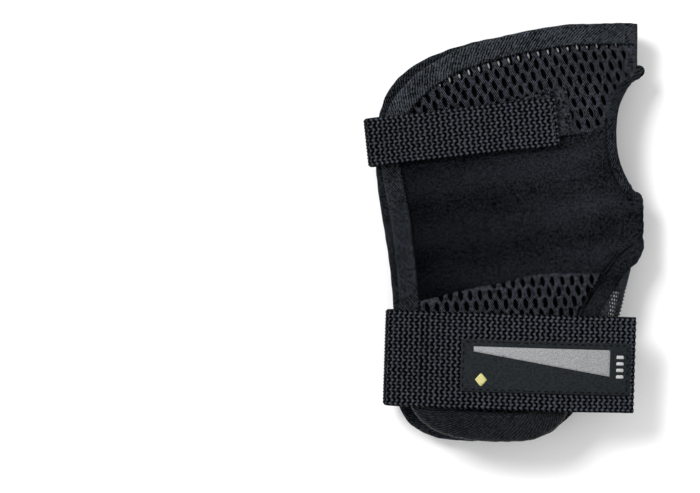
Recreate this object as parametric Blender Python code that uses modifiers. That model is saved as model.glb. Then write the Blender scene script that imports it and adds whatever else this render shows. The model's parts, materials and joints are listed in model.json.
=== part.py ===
"""Left-hand wrist guard for skating and snowboarding.

A fabric shell has a back half and a palm half, joined on the thumb side by two folds with the thumb
hole between them, and open on the little-finger side. Edges are bound with tape. A palm splint and a
back splint stiffen it, and two webbing straps with hook tape close it over the back of the hand.

The guard lies palm down. +Z is up, +Y points to the fingers and +X to the thumb. The origin is under
the middle of the guard, on the surface it lies on. Lengths are in millimetres, and MM makes them metres.
"""

import math

import bmesh
import bpy
from mathutils import Matrix, Vector

MM = 0.001
GAP = 0.3  # clearance between pieces that touch

# The form of the shell: each half is a sheet ruled along Y, whose height depends on X alone.
RULE = 6.0  # distance between the ruled fold lines
THUMB_HALF_WIDTH = 61.0
OUTER_HALF_WIDTH = 56.0
CROWN_POWER = 2.5
BACK_EDGE_HEIGHT = 14.0
BACK_CROWN = 14.0
PALM_CENTRE_HEIGHT = 8.5
PALM_EDGE_RISE = 4.5

PANEL = 3.0  # thickness of the padded mesh and stretch fabric
BINDING = 4.0  # thickness of an edge with its folded tape
WEBBING = 1.6
TAPE = 0.8  # thickness of hook tape and of loop tape
LINING = 1.0
TOP_BINDING_WIDTH = 7.8
SIDE_BINDING_WIDTH = 7.2
FOLD_WALL = 2.0
FOLD_DEPTH = 4.0
FOLD_STEPS = 8

# Outer edges in plan, from the fold above the thumb hole anticlockwise to the fold below it.
BACK_EDGE = [
    (47.0, 83.8), (36.0, 83.4), (24.0, 82.8), (9.0, 80.4), (-4.0, 77.4), (-18.6, 73.0),
    (-27.3, 68.6), (-34.2, 64.3), (-40.3, 58.6), (-44.6, 53.4), (-47.8, 47.0), (-49.4, 40.0),
    (-49.6, 31.0), (-48.8, 22.5), (-47.0, 13.0), (-45.2, 3.0), (-43.8, -9.0), (-42.7, -19.4),
    (-41.9, -32.0), (-41.5, -46.0), (-40.4, -60.0), (-38.2, -68.0), (-34.4, -74.2), (-27.6, -79.2),
    (-16.0, -82.4), (-2.0, -83.2), (8.0, -82.8), (15.0, -80.8), (21.0, -76.8), (25.0, -70.5),
    (27.4, -62.5), (29.4, -53.0), (32.4, -43.0), (37.4, -32.0), (43.2, -23.0), (47.8, -16.6),
    (51.4, -11.8),
]
PALM_EDGE = [
    (47.0, 83.8), (36.0, 83.5), (24.0, 82.9), (9.0, 80.8), (-9.6, 77.4), (-21.2, 74.2),
    (-29.6, 71.0), (-36.6, 67.2), (-42.4, 62.4), (-46.6, 57.0), (-49.2, 50.6), (-51.0, 43.0),
    (-51.7, 33.0), (-51.1, 22.0), (-49.6, 10.2), (-47.4, -3.0), (-45.6, -16.0), (-44.5, -30.0),
    (-44.0, -45.0), (-43.7, -60.0), (-42.6, -68.6), (-38.9, -75.8), (-33.6, -79.8), (-26.6, -82.6),
    (-16.0, -83.8), (-2.0, -83.8), (8.0, -83.6), (14.6, -82.2), (20.6, -79.0), (27.2, -72.8),
    (32.6, -64.6), (37.0, -55.6), (41.2, -46.0), (44.4, -37.4), (46.6, -30.0), (48.4, -22.0),
    (50.0, -15.6), (50.9, -11.4),
]

# The binding ring round the thumb hole: its centre line on each half, from the top down.
RING_RADIUS = 2.0
RING_BACK = [
    (50.4, 63.4), (47.6, 59.6), (44.9, 55.2), (43.2, 50.2), (42.5, 44.0),
    (42.4, 36.5), (43.3, 29.8), (45.4, 23.4), (48.0, 18.6), (50.6, 14.8),
]
RING_PALM_SHIFT = -1.0
RING_TOP_TIP = (53.8, 65.0)
RING_LOW_TIP = (53.9, 12.8)

# The thumb-side folds: outermost X, where it is constant, and the stretch of Y that each covers.
WEB_FOLD_X = 53.0
WEB_FOLD_Y = (67.6, 75.6)
WEB_BINDING_Y = (75.9, 83.8)
THENAR_FOLD_X = 55.4
THENAR_FOLD_Y = (-9.5, 10.2)
GUSSET_FOLD_Y = (-61.0, -24.5)

# Seams between the panels of the back half, from the little-finger side to the thumb.
UPPER_SEAM = [(-41.0, 32.5), (-22.0, 34.6), (0.0, 36.8), (18.0, 38.8), (31.0, 40.4), (40.2, 43.2)]
LOWER_SEAM = [
    (-34.3, -27.8), (-21.8, -24.2), (-8.4, -21.6), (7.6, -17.9), (18.4, -16.5), (38.4, -16.4),
]
# Where one length of binding tape ends and the next begins, under a strap.
TAPE_JOIN_UPPER = 36.0
TAPE_JOIN_LOWER = -50.0
TAPE_JOIN_GUSSET_X = 33.0

# Palm side.
GUSSET_LINE = [(40.0, -5.8), (36.5, -20.0), (33.5, -36.0), (30.0, -50.0), (26.2, -60.4)]
GUSSET_SEAM = 0.9  # from the seam line to the gusset's edge
PAD_HALF_WIDTH = 30.0
PAD_Y = (-12.0, 42.0)
PAD = 2.2
SPLINT = 3.0
SPLINT_CUFF_HALF_WIDTH = 19.0
SPLINT_PALM_HALF_WIDTH = 25.0
SPLINT_Y = (-73.0, 62.0)
# Height of the palm splint's underside along Y: level in the sleeve, down to the skid, up to the rivets.
SPLINT_RULES = [
    (-73.0, 3.4), (-22.0, 3.4), (-17.0, 2.9), (-11.0, 1.5), (-6.0, 0.4), (-2.0, 0.0),
    (36.0, 0.0), (40.0, 0.4), (44.0, 1.6), (48.0, 3.1), (51.0, 3.7), (62.0, 3.7),
]
GROOVE_X = (-16.0, -8.0, 0.0, 8.0, 16.0)
GROOVE_Y = (4.0, 30.0)
GROOVE_WIDTH = 2.4
GROOVE_DEPTH = 0.9
RIVET_PLACES = {"left": (-16.0, 55.0), "right": (16.0, 55.0)}
RIVET_SHANK = 2.0
RIVET_HEAD = 4.6
SLEEVE_Y = (-74.0, -24.0)
SLEEVE_BOTTOM = 2.1

# Back splint and its pocket, inside the lining.
BACK_SPLINT = 2.0
BACK_SPLINT_HALF_WIDTH = 16.0
BACK_SPLINT_Y = (-66.0, 44.0)

# Straps: the outer face of the bend on the little-finger side, and the turn from +X in plan.
HAND_PIVOT = (-55.8, 36.1)
HAND_TURN = math.radians(6.2)
HAND_WIDTH = 19.2
HAND_END = 76.8  # length in plan from the bend to the free end
HAND_ANCHOR = 26.0
WRIST_PIVOT = (-48.4, -50.0)
WRIST_TURN = math.radians(-1.8)
WRIST_WIDTH = 38.6
WRIST_END = 100.4
WRIST_ANCHOR = 84.0
BEND = 3.6  # corner radius of a strap's bends
FLAP_LIFT = 4.6  # centre of a flap above the middle of the back half's sheet
UNDER_DROP = 3.1  # centre of a strap below the middle of the palm half's sheet

LABEL_X = (-18.2, 49.6)
LABEL_Y = (-64.2, -43.4)
LABEL = 0.7

MATERIALS = {
    "air_mesh": ((0.017, 0.019, 0.022), 0.85, 0.0),
    "stretch_knit": ((0.010, 0.011, 0.013), 0.80, 0.0),
    "binding_tape": ((0.026, 0.028, 0.031), 0.75, 0.0),
    "webbing": ((0.015, 0.016, 0.018), 0.60, 0.0),
    "hook_tape": ((0.012, 0.012, 0.014), 0.55, 0.0),
    "loop_tape": ((0.014, 0.014, 0.016), 0.95, 0.0),
    "woven_label": ((0.032, 0.036, 0.039), 0.70, 0.0),
    "palm_fabric": ((0.014, 0.015, 0.017), 0.80, 0.0),
    "lining_fabric": ((0.022, 0.023, 0.026), 0.90, 0.0),
    "foam": ((0.030, 0.030, 0.032), 0.95, 0.0),
    "splint_plastic": ((0.012, 0.012, 0.013), 0.38, 0.0),
    "rivet_metal": ((0.060, 0.060, 0.062), 0.35, 1.0),
}


# --- the form -----------------------------------------------------------------------------------


def crown(x):
    """0 on the centre line, 1 at the shell's full half width."""
    half = THUMB_HALF_WIDTH if x > 0 else OUTER_HALF_WIDTH
    return (abs(x) / half) ** CROWN_POWER


def ruled(shape, x):
    """shape between the two fold lines beside x, as a straight line, so that every facet is flat."""
    low = math.floor(x / RULE) * RULE
    share = (x - low) / RULE
    return shape(low) * (1 - share) + shape(low + RULE) * share


def back_height(x, _y=0.0):
    return ruled(lambda at: BACK_EDGE_HEIGHT + BACK_CROWN * (1 - crown(at)), x)


def palm_height(x, _y=0.0):
    return ruled(lambda at: PALM_CENTRE_HEIGHT + PALM_EDGE_RISE * crown(at), x)


def splint_height(_x, y):
    for (y0, z0), (y1, z1) in zip(SPLINT_RULES, SPLINT_RULES[1:]):
        if y <= y1:
            return z0 + (z1 - z0) * max(0.0, (y - y0) / (y1 - y0))
    return SPLINT_RULES[-1][1]


# --- curves in plan -----------------------------------------------------------------------------


def smooth(points, steps=3, closed=False):
    """The Catmull-Rom curve through the points, with this many steps from one to the next."""
    points = [Vector(p) for p in points]
    count = len(points)
    made = []
    for i in range(count if closed else count - 1):
        if closed:
            p0, p1, p2, p3 = (points[(i + k) % count] for k in (-1, 0, 1, 2))
        else:
            p0, p1, p2, p3 = (points[min(max(i + k, 0), count - 1)] for k in (-1, 0, 1, 2))
        for step in range(steps):
            t = step / steps
            made.append(
                0.5 * (2 * p1 + (p2 - p0) * t + (2 * p0 - 5 * p1 + 4 * p2 - p3) * t * t
                       + (3 * p1 - p0 - 3 * p2 + p3) * t ** 3)
            )
    return made if closed else made + [points[-1]]


def offset(points, distance):
    """The curve moved to its left by distance."""
    made = []
    for i, point in enumerate(points):
        along = points[min(i + 1, len(points) - 1)] - points[max(i - 1, 0)]
        made.append(point + Vector((-along.y, along.x)).normalized() * distance)
    return made


def nearest(curve, place):
    return min(range(len(curve)), key=lambda i: (curve[i] - Vector(place)).length)


def stretch_of(curve, start, end):
    """The part of the curve between its points nearest to start and to end."""
    return curve[nearest(curve, start):nearest(curve, end) + 1]


def at_height(curve, y, on_left):
    """The curve's point nearest to this Y, on its left (X < 0) or right side."""
    side = [p for p in curve if (p.x < 0) == on_left]
    return min(side, key=lambda p: abs(p.y - y))


def band(path, thickness):
    """The closed outline of a strip of this thickness along the path."""
    return offset(path, thickness / 2) + offset(path, -thickness / 2)[::-1]


def rounded_rectangle(x0, x1, y0, y1, radius, steps=4):
    corners = [(x1, y1, 0), (x0, y1, 90), (x0, y0, 180), (x1, y0, 270)]
    made = []
    for x, y, start in corners:
        centre = Vector((x - math.copysign(radius, x - x0 - 1e-6), y - math.copysign(radius, y - y0 - 1e-6)))
        for step in range(steps + 1):
            angle = math.radians(start + 90 * step / steps)
            made.append(centre + radius * Vector((math.cos(angle), math.sin(angle))))
    return made


# --- making solids ------------------------------------------------------------------------------


def clear_scene():
    for obj in list(bpy.data.objects):
        bpy.data.objects.remove(obj)


def collection(name):
    made = bpy.data.collections.new(name)
    bpy.context.scene.collection.children.link(made)
    return made


def material(name):
    if name in bpy.data.materials:
        return bpy.data.materials[name]
    colour, roughness, metallic = MATERIALS[name]
    made = bpy.data.materials.new(name)
    made.use_nodes = True
    shader = made.node_tree.nodes["Principled BSDF"]
    shader.inputs["Base Color"].default_value = (*colour, 1)
    shader.inputs["Roughness"].default_value = roughness
    shader.inputs["Metallic"].default_value = metallic
    return made


def add_object(name, data, slot, group):
    obj = bpy.data.objects.new(name, data)
    obj.data.materials.append(material(slot))
    group.objects.link(obj)
    return obj


def sheet(name, outline, low, high, surface, slot, group, rules=None, across="x"):
    """A flat outline, cut along the form's rules, bent to the surface and solid from low to high above it."""
    shape = bmesh.new()
    shape.faces.new([shape.verts.new((p.x, p.y, 0)) for p in outline])
    normal = (1, 0, 0) if across == "x" else (0, 1, 0)
    if rules is None:
        count = int(OUTER_HALF_WIDTH * 2 / RULE)
        rules = [RULE * k for k in range(-count, count + 1)]
    for rule in rules:
        everything = shape.verts[:] + shape.edges[:] + shape.faces[:]
        bmesh.ops.bisect_plane(
            shape, geom=everything, plane_co=Vector(normal) * rule, plane_no=normal, dist=1e-4
        )
    risen = bmesh.ops.extrude_face_region(shape, geom=shape.faces[:])
    top = {v for v in risen["geom"] if isinstance(v, bmesh.types.BMVert)}
    for vert in shape.verts:
        height = surface(vert.co.x, vert.co.y) + (high if vert in top else low)
        vert.co.z = height
        vert.co *= MM
    bmesh.ops.recalc_face_normals(shape, faces=shape.faces[:])
    data = bpy.data.meshes.new(name)
    shape.to_mesh(data)
    shape.free()
    return add_object(name, data, slot, group)


def bar(name, section, low, high, slot, group, pivot=(0.0, 0.0), turn=0.0):
    """An outline in X and Z, made solid across the width from low to high. pivot and turn place it in plan."""
    data = bpy.data.curves.new(name, "CURVE")
    data.dimensions = "2D"
    data.fill_mode = "BOTH"
    data.extrude = (high - low) / 2 * MM
    spline = data.splines.new("POLY")
    spline.points.add(len(section) - 1)
    for point, place in zip(spline.points, section):
        point.co = (place.x * MM, place.y * MM, 0, 1)
    spline.use_cyclic_u = True
    obj = add_object(name, data, slot, group)
    middle = Vector((0, (low + high) / 2 * MM, 0))
    place = Matrix.Translation((pivot[0] * MM, pivot[1] * MM, 0)) @ Matrix.Rotation(turn, 4, "Z")
    obj.matrix_world = place @ Matrix.Translation(middle) @ Matrix.Rotation(math.pi / 2, 4, "X")
    return obj


def tube(name, path, radius, slot, group):
    """A closed ring of tube along the path."""
    data = bpy.data.curves.new(name, "CURVE")
    data.dimensions = "3D"
    data.bevel_depth = radius * MM
    data.bevel_resolution = 1
    spline = data.splines.new("POLY")
    spline.points.add(len(path) - 1)
    for point, place in zip(spline.points, path):
        point.co = (*(place * MM), 1)
    spline.use_cyclic_u = True
    return add_object(name, data, slot, group)


def turned(name, profile, slot, group, steps=16):
    """A solid of revolution. The profile runs from the axis down the outer side to the axis."""
    data = bpy.data.meshes.new(name)
    edges = [(i, i + 1) for i in range(len(profile) - 1)]
    data.from_pydata([(r * MM, 0, z * MM) for r, z in profile], edges, [])
    obj = add_object(name, data, slot, group)
    screw = obj.modifiers.new("Screw", "SCREW")
    screw.steps = screw.render_steps = steps
    screw.use_merge_vertices = True
    screw.merge_threshold = 0.00001
    return obj


def cutter(obj):
    obj.hide_render = True
    obj.display_type = "WIRE"
    return obj


def cut(obj, tool):
    boolean = obj.modifiers.new("Cut " + tool.name, "BOOLEAN")
    boolean.operation = "DIFFERENCE"
    boolean.object = tool


# --- the shell ----------------------------------------------------------------------------------


def fold(name, path, slot, group, wall=FOLD_WALL):
    """A half round wall along the path, its outermost line in plan, from the back sheet to the palm sheet."""
    edge = offset(path, FOLD_DEPTH + wall / 2)
    angles = [math.radians(90 - 180 * k / FOLD_STEPS) for k in range(FOLD_STEPS + 1)]
    shape = bmesh.new()
    rings = []
    for outermost, start in zip(path, edge):
        top, bottom = back_height(start.x), palm_height(start.x)
        outward = (outermost - start) / (FOLD_DEPTH + wall / 2)
        ring = []
        for side in (1, -1):
            width, height = FOLD_DEPTH + side * wall / 2, (top - bottom) / 2 + side * wall / 2
            for angle in angles[::side]:
                place = start + outward * width * math.cos(angle)
                z = (top + bottom) / 2 + height * math.sin(angle)
                ring.append(shape.verts.new((place.x * MM, place.y * MM, z * MM)))
        rings.append(ring)
    count = len(rings[0])
    for low, high in zip(rings, rings[1:]):
        for k in range(count):
            following = (k + 1) % count
            shape.faces.new((low[k], low[following], high[following], high[k]))
    for ring in (rings[0], rings[-1]):
        for k in range(FOLD_STEPS):
            shape.faces.new((ring[k], ring[k + 1], ring[count - 2 - k], ring[count - 1 - k]))
    bmesh.ops.recalc_face_normals(shape, faces=shape.faces[:])
    data = bpy.data.meshes.new(name)
    shape.to_mesh(data)
    shape.free()
    return add_object(name, data, slot, group)


def ring_path():
    back = [Vector((x, y, back_height(x))) for x, y in RING_BACK]
    palm = [
        Vector((x + RING_PALM_SHIFT, y, palm_height(x + RING_PALM_SHIFT))) for x, y in RING_BACK[::-1]
    ]

    def tip(place):
        return Vector((*place, (back_height(place[0]) + palm_height(place[0])) / 2))

    return smooth([*back, tip(RING_LOW_TIP), *palm, tip(RING_TOP_TIP)], 2, closed=True)


def edges_of(half):
    """The outer edge of a half, the inner edge of its binding, and the edge of its notch for the thumb."""
    outer = smooth(BACK_EDGE if half == "back" else PALM_EDGE)
    inner = offset(outer, SIDE_BINDING_WIDTH + GAP)
    shift = 0.0 if half == "back" else RING_PALM_SHIFT
    notch = offset(smooth([(x + shift, y) for x, y in RING_BACK], 2), -(RING_RADIUS + GAP + 0.1))
    return outer, inner, notch


def build_back(group):
    outer, inner, notch = edges_of("back")
    web, thenar = fold_side(WEB_FOLD_X), fold_side(THENAR_FOLD_X)
    upper_seam, lower_seam = smooth(UPPER_SEAM), smooth(LOWER_SEAM)
    half_gap = GAP / 2

    top_inner = offset(outer, TOP_BINDING_WIDTH + GAP)
    knuckle_edge = [p for p in stretch_of(top_inner, (web, 75.6), UPPER_SEAM[0]) if p.x < web - 1]
    knuckle_notch = [p for p in notch if p.x < web - 1 and p.y > UPPER_SEAM[-1][1] + 1]
    knuckle = (
        [Vector((web, WEB_FOLD_Y[1]))] + knuckle_edge + offset(upper_seam, half_gap)
        + knuckle_notch[::-1] + [Vector((web, 64.4))]
    )
    sheet("back_knuckle_mesh", knuckle, -PANEL / 2, PANEL / 2, back_height, "air_mesh", group)

    side = stretch_of(inner, UPPER_SEAM[0], LOWER_SEAM[0])[1:-1]
    thumb_side = stretch_of(inner, LOWER_SEAM[-1], inner[-1])[1:]
    stretch_notch = [p for p in notch if p.y < UPPER_SEAM[-1][1] - 1 and p.x < thenar - 1]
    stretch = (
        side + offset(lower_seam, half_gap) + thumb_side
        + [Vector((thenar, y)) for y in THENAR_FOLD_Y]
        + stretch_notch[::-1] + offset(upper_seam, -half_gap)[::-1]
    )
    sheet("back_stretch_panel", stretch, -PANEL / 2, PANEL / 2, back_height, "stretch_knit", group)

    around = stretch_of(inner, LOWER_SEAM[0], LOWER_SEAM[-1])[1:-1]
    cuff = around + offset(lower_seam, -half_gap)[::-1]
    sheet("back_cuff_mesh", cuff, -PANEL / 2, PANEL / 2, back_height, "air_mesh", group)

    lining_low = -BINDING / 2 - GAP - LINING
    lining_edge = [p for p in inner if p.x < web - 1 or p.y < 0]
    lining = (
        [Vector((web, WEB_FOLD_Y[1]))] + lining_edge + [Vector((thenar, y)) for y in THENAR_FOLD_Y]
        + [p for p in notch[::-1] if p.x < web - 1] + [Vector((web, 64.4))]
    )
    sheet("back_lining", lining, lining_low, lining_low + LINING, back_height, "lining_fabric", group)

    bindings(group, "back", outer, back_height)
    build_back_gusset(group, outer)
    build_back_splint(group, lining_low)


def bindings(group, half, outer, surface):
    """The lengths of tape round one half: top, side and cuff, and on the back the thumb side too."""
    upper_join = nearest(outer, at_height(outer, TAPE_JOIN_UPPER, True))
    lower_join = nearest(outer, at_height(outer, TAPE_JOIN_LOWER, True))
    last = len(outer) - 1
    pieces = {
        "top": (0, upper_join, TOP_BINDING_WIDTH),
        "side": (upper_join, lower_join, SIDE_BINDING_WIDTH),
    }
    if half == "back":
        thumb_join = nearest(outer, at_height(outer, TAPE_JOIN_LOWER, False))
        pieces["cuff"] = (lower_join, thumb_join, SIDE_BINDING_WIDTH)
        pieces["thumb"] = (thumb_join, last, SIDE_BINDING_WIDTH)
    else:
        pieces["cuff"] = (lower_join, palm_cuff_end(outer), SIDE_BINDING_WIDTH)
    for name, (start, end, width) in pieces.items():
        inner = offset(outer, width)
        outline = pulled_in(outer[start:end + 1]) + pulled_in(inner[start:end + 1])[::-1]
        sheet(f"{half}_{name}_binding", outline, -BINDING / 2, BINDING / 2, surface, "binding_tape", group)


def palm_cuff_end(outer):
    """The place on the palm's edge where its tape ends and the gusset begins."""
    return max(i for i, p in enumerate(outer) if p.y < TAPE_JOIN_LOWER and p.x < TAPE_JOIN_GUSSET_X)


def pulled_in(edge):
    """The edge with its two ends drawn in, to leave a gap between lengths of tape."""
    start, end = edge[0], edge[-1]
    start_along, end_along = (edge[1] - start).normalized(), (end - edge[-2]).normalized()
    return [start + start_along * GAP / 2, *edge[1:-1], end - end_along * GAP / 2]


def build_back_splint(group, lining_low):
    top = lining_low - GAP
    half, (y0, y1) = BACK_SPLINT_HALF_WIDTH, BACK_SPLINT_Y
    outline = rounded_rectangle(-half, half, y0, y1, 9.0)
    sheet("back_splint", outline, top - BACK_SPLINT, top, back_height, "splint_plastic", group)
    # The pocket is a tray of lining fabric with upright sides, open towards the cuff.
    floor_top = top - BACK_SPLINT - GAP
    inside = half + 0.6
    xs = [k * RULE for k in (-2, -1, 0, 1, 2)]
    under = [Vector((x, back_height(x) + floor_top)) for x in (-inside, *xs, inside)]
    lower = [p - Vector((0, LINING)) for p in under]
    left, right = -inside - LINING, inside + LINING
    section = (
        [Vector((left, back_height(left) + top)), Vector((left, lower[0].y))] + lower
        + [Vector((right, lower[-1].y)), Vector((right, back_height(right) + top))]
        + [Vector((inside, back_height(inside) + top))] + under[::-1]
        + [Vector((-inside, back_height(-inside) + top))]
    )
    bar("back_splint_pocket", section, y0, y1 + 2, "lining_fabric", group)


def build_palm(group):
    outer, inner, notch = edges_of("palm")
    web, thenar = fold_side(WEB_FOLD_X), fold_side(THENAR_FOLD_X)
    gusset_line = smooth(GUSSET_LINE)
    top_inner = offset(outer, TOP_BINDING_WIDTH + GAP)
    upper = [p for p in stretch_of(top_inner, (web, 75.6), (-43.0, TAPE_JOIN_UPPER)) if p.x < web - 1]
    lower = stretch_of(inner, (-43.0, TAPE_JOIN_UPPER - 3), GUSSET_LINE[-1])[:-1]
    palm_notch = [p for p in notch[::-1] if p.x < web - 1]
    outline = (
        [Vector((web, WEB_FOLD_Y[1]))] + upper + lower + offset(gusset_line, GAP)[::-1][1:]
        + [Vector((thenar, THENAR_FOLD_Y[0])), Vector((thenar, THENAR_FOLD_Y[1]))]
        + palm_notch + [Vector((web, 64.4))]
    )
    panel = sheet("palm_panel", outline, -PANEL / 2, PANEL / 2, palm_height, "palm_fabric", group)

    beside_fold = offset(gusset_fold_path(), FOLD_DEPTH + FOLD_WALL / 2 + GAP)
    above_fold = [p for p in outer if p.x > 0 and GUSSET_FOLD_Y[1] + 2 * GAP < p.y < 0]
    gusset = offset(gusset_line, GUSSET_SEAM)[1:] + beside_fold + above_fold
    sheet("palm_gusset_mesh", gusset, -PANEL / 2, PANEL / 2, palm_height, "air_mesh", group)

    pad_low = PANEL / 2 + GAP
    pad = rounded_rectangle(-PAD_HALF_WIDTH, PAD_HALF_WIDTH, *PAD_Y, 12.0)
    sheet("palm_pad", pad, pad_low, pad_low + PAD, palm_height, "foam", group)
    bindings(group, "palm", outer, palm_height)
    return panel


def gusset_fold_path():
    return [p for p in smooth(PALM_EDGE) if p.x > 0 and GUSSET_FOLD_Y[0] < p.y < GUSSET_FOLD_Y[1]]


def build_folds(group):
    """The folds on the thumb side and the tape on the topmost one."""
    for name, x, (y0, y1), slot in (
        ("web_fold", WEB_FOLD_X, WEB_FOLD_Y, "air_mesh"),
        ("web_binding", WEB_FOLD_X, WEB_BINDING_Y, "binding_tape"),
        ("thenar_fold", THENAR_FOLD_X, THENAR_FOLD_Y, "stretch_knit"),
    ):
        fold(name, [Vector((x, y0)), Vector((x, (y0 + y1) / 2)), Vector((x, y1))], slot, group)
    fold("gusset_fold_mesh", gusset_fold_path(), "air_mesh", group)
    tube("thumb_hole_binding", ring_path(), RING_RADIUS, "binding_tape", group)


def fold_side(x):
    """X of the panels' edge beside a straight fold."""
    return x - FOLD_DEPTH - FOLD_WALL / 2 - GAP


def build_back_gusset(group, outer):
    """The strip of mesh on the back between the thumb-side tape and the gusset's fold."""
    outer_side = offset(gusset_fold_path(), FOLD_DEPTH + FOLD_WALL / 2 + GAP)[:-2]
    low, high = outer_side[0].y, outer_side[-1].y
    tape = [p for p in offset(outer, -2 * GAP) if p.x > 0 and low < p.y < high]
    sheet(
        "back_gusset_mesh", outer_side + tape[::-1], -FOLD_WALL / 2, FOLD_WALL / 2, back_height,
        "air_mesh", group,
    )


# --- the palm splint ----------------------------------------------------------------------------


def splint_outline():
    narrow, wide = SPLINT_CUFF_HALF_WIDTH, SPLINT_PALM_HALF_WIDTH
    y0, y1 = SPLINT_Y
    right = [
        (narrow - 9, y0), (narrow - 4, y0 + 1.4), (narrow - 0.8, y0 + 5), (narrow, y0 + 10), (narrow, -22),
        (narrow + 1.2, -14), (wide - 1.4, -6), (wide, 2), (wide, 36), (wide - 1.4, 46),
        (wide - 5.5, 54.5), (wide - 12, y1 - 2), (wide - 18, y1),
    ]
    curve = smooth(right, 2)
    return curve + [Vector((-p.x, p.y)) for p in curve[::-1]]


def build_palm_splint(group, tools, panel):
    rules = [y for y, _ in SPLINT_RULES[1:-1]]
    splint = sheet(
        "palm_splint", splint_outline(), 0.0, SPLINT, splint_height, "splint_plastic", group, rules, "y"
    )
    for number, x in enumerate(GROOVE_X):
        half = GROOVE_WIDTH / 2
        outline = rounded_rectangle(x - half, x + half, *GROOVE_Y, half - 0.1, 3)
        tool = sheet(
            f"groove_cutter_{number}", outline, -2.0, GROOVE_DEPTH, lambda _x, _y: 0.0,
            "splint_plastic", tools, [],
        )
        cut(splint, cutter(tool))
    for side, (x, y) in RIVET_PLACES.items():
        plate_low = splint_height(x, y)
        panel_top = palm_height(x) + PANEL / 2
        hole = turned(
            f"rivet_hole_cutter_{side}",
            [(0, panel_top + 4), (RIVET_SHANK + GAP, panel_top + 4),
             (RIVET_SHANK + GAP, plate_low - 4), (0, plate_low - 4)],
            "splint_plastic", tools,
        )
        hole.location = (x * MM, y * MM, 0)
        cut(splint, cutter(hole))
        cut(panel, hole)
        build_rivet(group, side, x, y, plate_low, panel_top)


def build_rivet(group, side, x, y, plate_low, panel_top):
    """A domed rivet up through the plate and the palm fabric, and the washer that it is closed on."""
    washer_low = panel_top + GAP + 0.3
    washer_top = washer_low + 0.8
    closed_low = washer_top + GAP
    head = plate_low - GAP
    rivet = turned(
        f"splint_rivet_{side}",
        [(0, closed_low + 0.9), (RIVET_SHANK + 0.8, closed_low + 0.6), (RIVET_SHANK + 1.2, closed_low),
         (RIVET_SHANK, closed_low), (RIVET_SHANK, head), (RIVET_HEAD, head), (RIVET_HEAD - 0.4, head - 0.8),
         (RIVET_HEAD - 2.0, head - 1.5), (0, head - 1.8)],
        "rivet_metal", group,
    )
    rivet.location = (x * MM, y * MM, 0)
    washer = turned(
        f"rivet_washer_{side}",
        [(RIVET_SHANK + GAP, washer_top), (RIVET_HEAD + 0.4, washer_top), (RIVET_HEAD + 0.4, washer_low),
         (RIVET_SHANK + GAP, washer_low), (RIVET_SHANK + GAP, washer_top)],
        "rivet_metal", group,
    )
    washer.location = (x * MM, y * MM, 0)


def build_sleeve(group):
    """The fabric channel that holds the splint's narrow end to the palm, a U with two sewn flanges."""
    inside = SPLINT_CUFF_HALF_WIDTH + 0.5
    outside = inside + LINING
    flange, top = outside + 5.5, SLEEVE_BOTTOM + LINING + SPLINT + 2 * GAP
    half = [
        (outside, SLEEVE_BOTTOM), (outside, top - 0.8), (flange, top - 0.8), (flange, top),
        (inside, top), (inside, SLEEVE_BOTTOM + LINING),
    ]
    section = [Vector(p) for p in half] + [Vector((-x, z)) for x, z in half[::-1]]
    bar("splint_sleeve", section, *SLEEVE_Y, "palm_fabric", group)


# --- straps -------------------------------------------------------------------------------------


class Strap:
    """A strap's own frame: x runs along it in plan from its bend on the little-finger side."""

    def __init__(self, pivot, turn, width):
        self.pivot, self.turn, self.width = pivot, turn, width

    def spread(self, x):
        """X in the guard's frame at the strap's two edges and its middle."""
        across = self.width / 2 * math.sin(self.turn)
        return [self.pivot[0] + x * math.cos(self.turn) + k * across for k in (-1, 0, 1)]

    def over(self, x, lift):
        return max(back_height(at) for at in self.spread(x)) + lift

    def under(self, x):
        return min(palm_height(at) for at in self.spread(x)) - UNDER_DROP

    def hinge_height(self):
        return (self.over(BEND, FLAP_LIFT) + self.under(BEND)) / 2

    def bar(self, name, path, slot, group, thickness=WEBBING, low=None, high=None):
        half = self.width / 2
        low, high = (-half, half) if low is None else (low, high)
        return bar(name, band(path, thickness), low, high, slot, group, self.pivot, self.turn)


def over_run(strap, start, end, lift, step=5.0):
    count = max(2, round((end - start) / step))
    xs = [start + (end - start) * k / count for k in range(count + 1)]
    return [Vector((x, strap.over(x, lift))) for x in xs]


def corner(x, z, turn_x, turn_z, radius, steps=3):
    """Points round a corner whose straight sides would meet at x, z; turn_x and turn_z point inside it."""
    centre = Vector((x + turn_x * radius, z + turn_z * radius))
    made = []
    for k in range(steps + 1):
        angle = math.pi / 2 * k / steps
        made.append(centre - Vector((turn_x * radius * math.cos(angle), turn_z * radius * math.sin(angle))))
    return made


def flap_path(strap, end):
    """From just above the hinge, up round the bend and over the back to the free end."""
    face = WEBBING / 2
    top = strap.over(face + BEND, FLAP_LIFT)
    start = Vector((face, strap.hinge_height() + GAP / 2))
    return [start] + corner(face, top, 1, -1, BEND) + over_run(strap, face + BEND, end, FLAP_LIFT)[1:]


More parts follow.
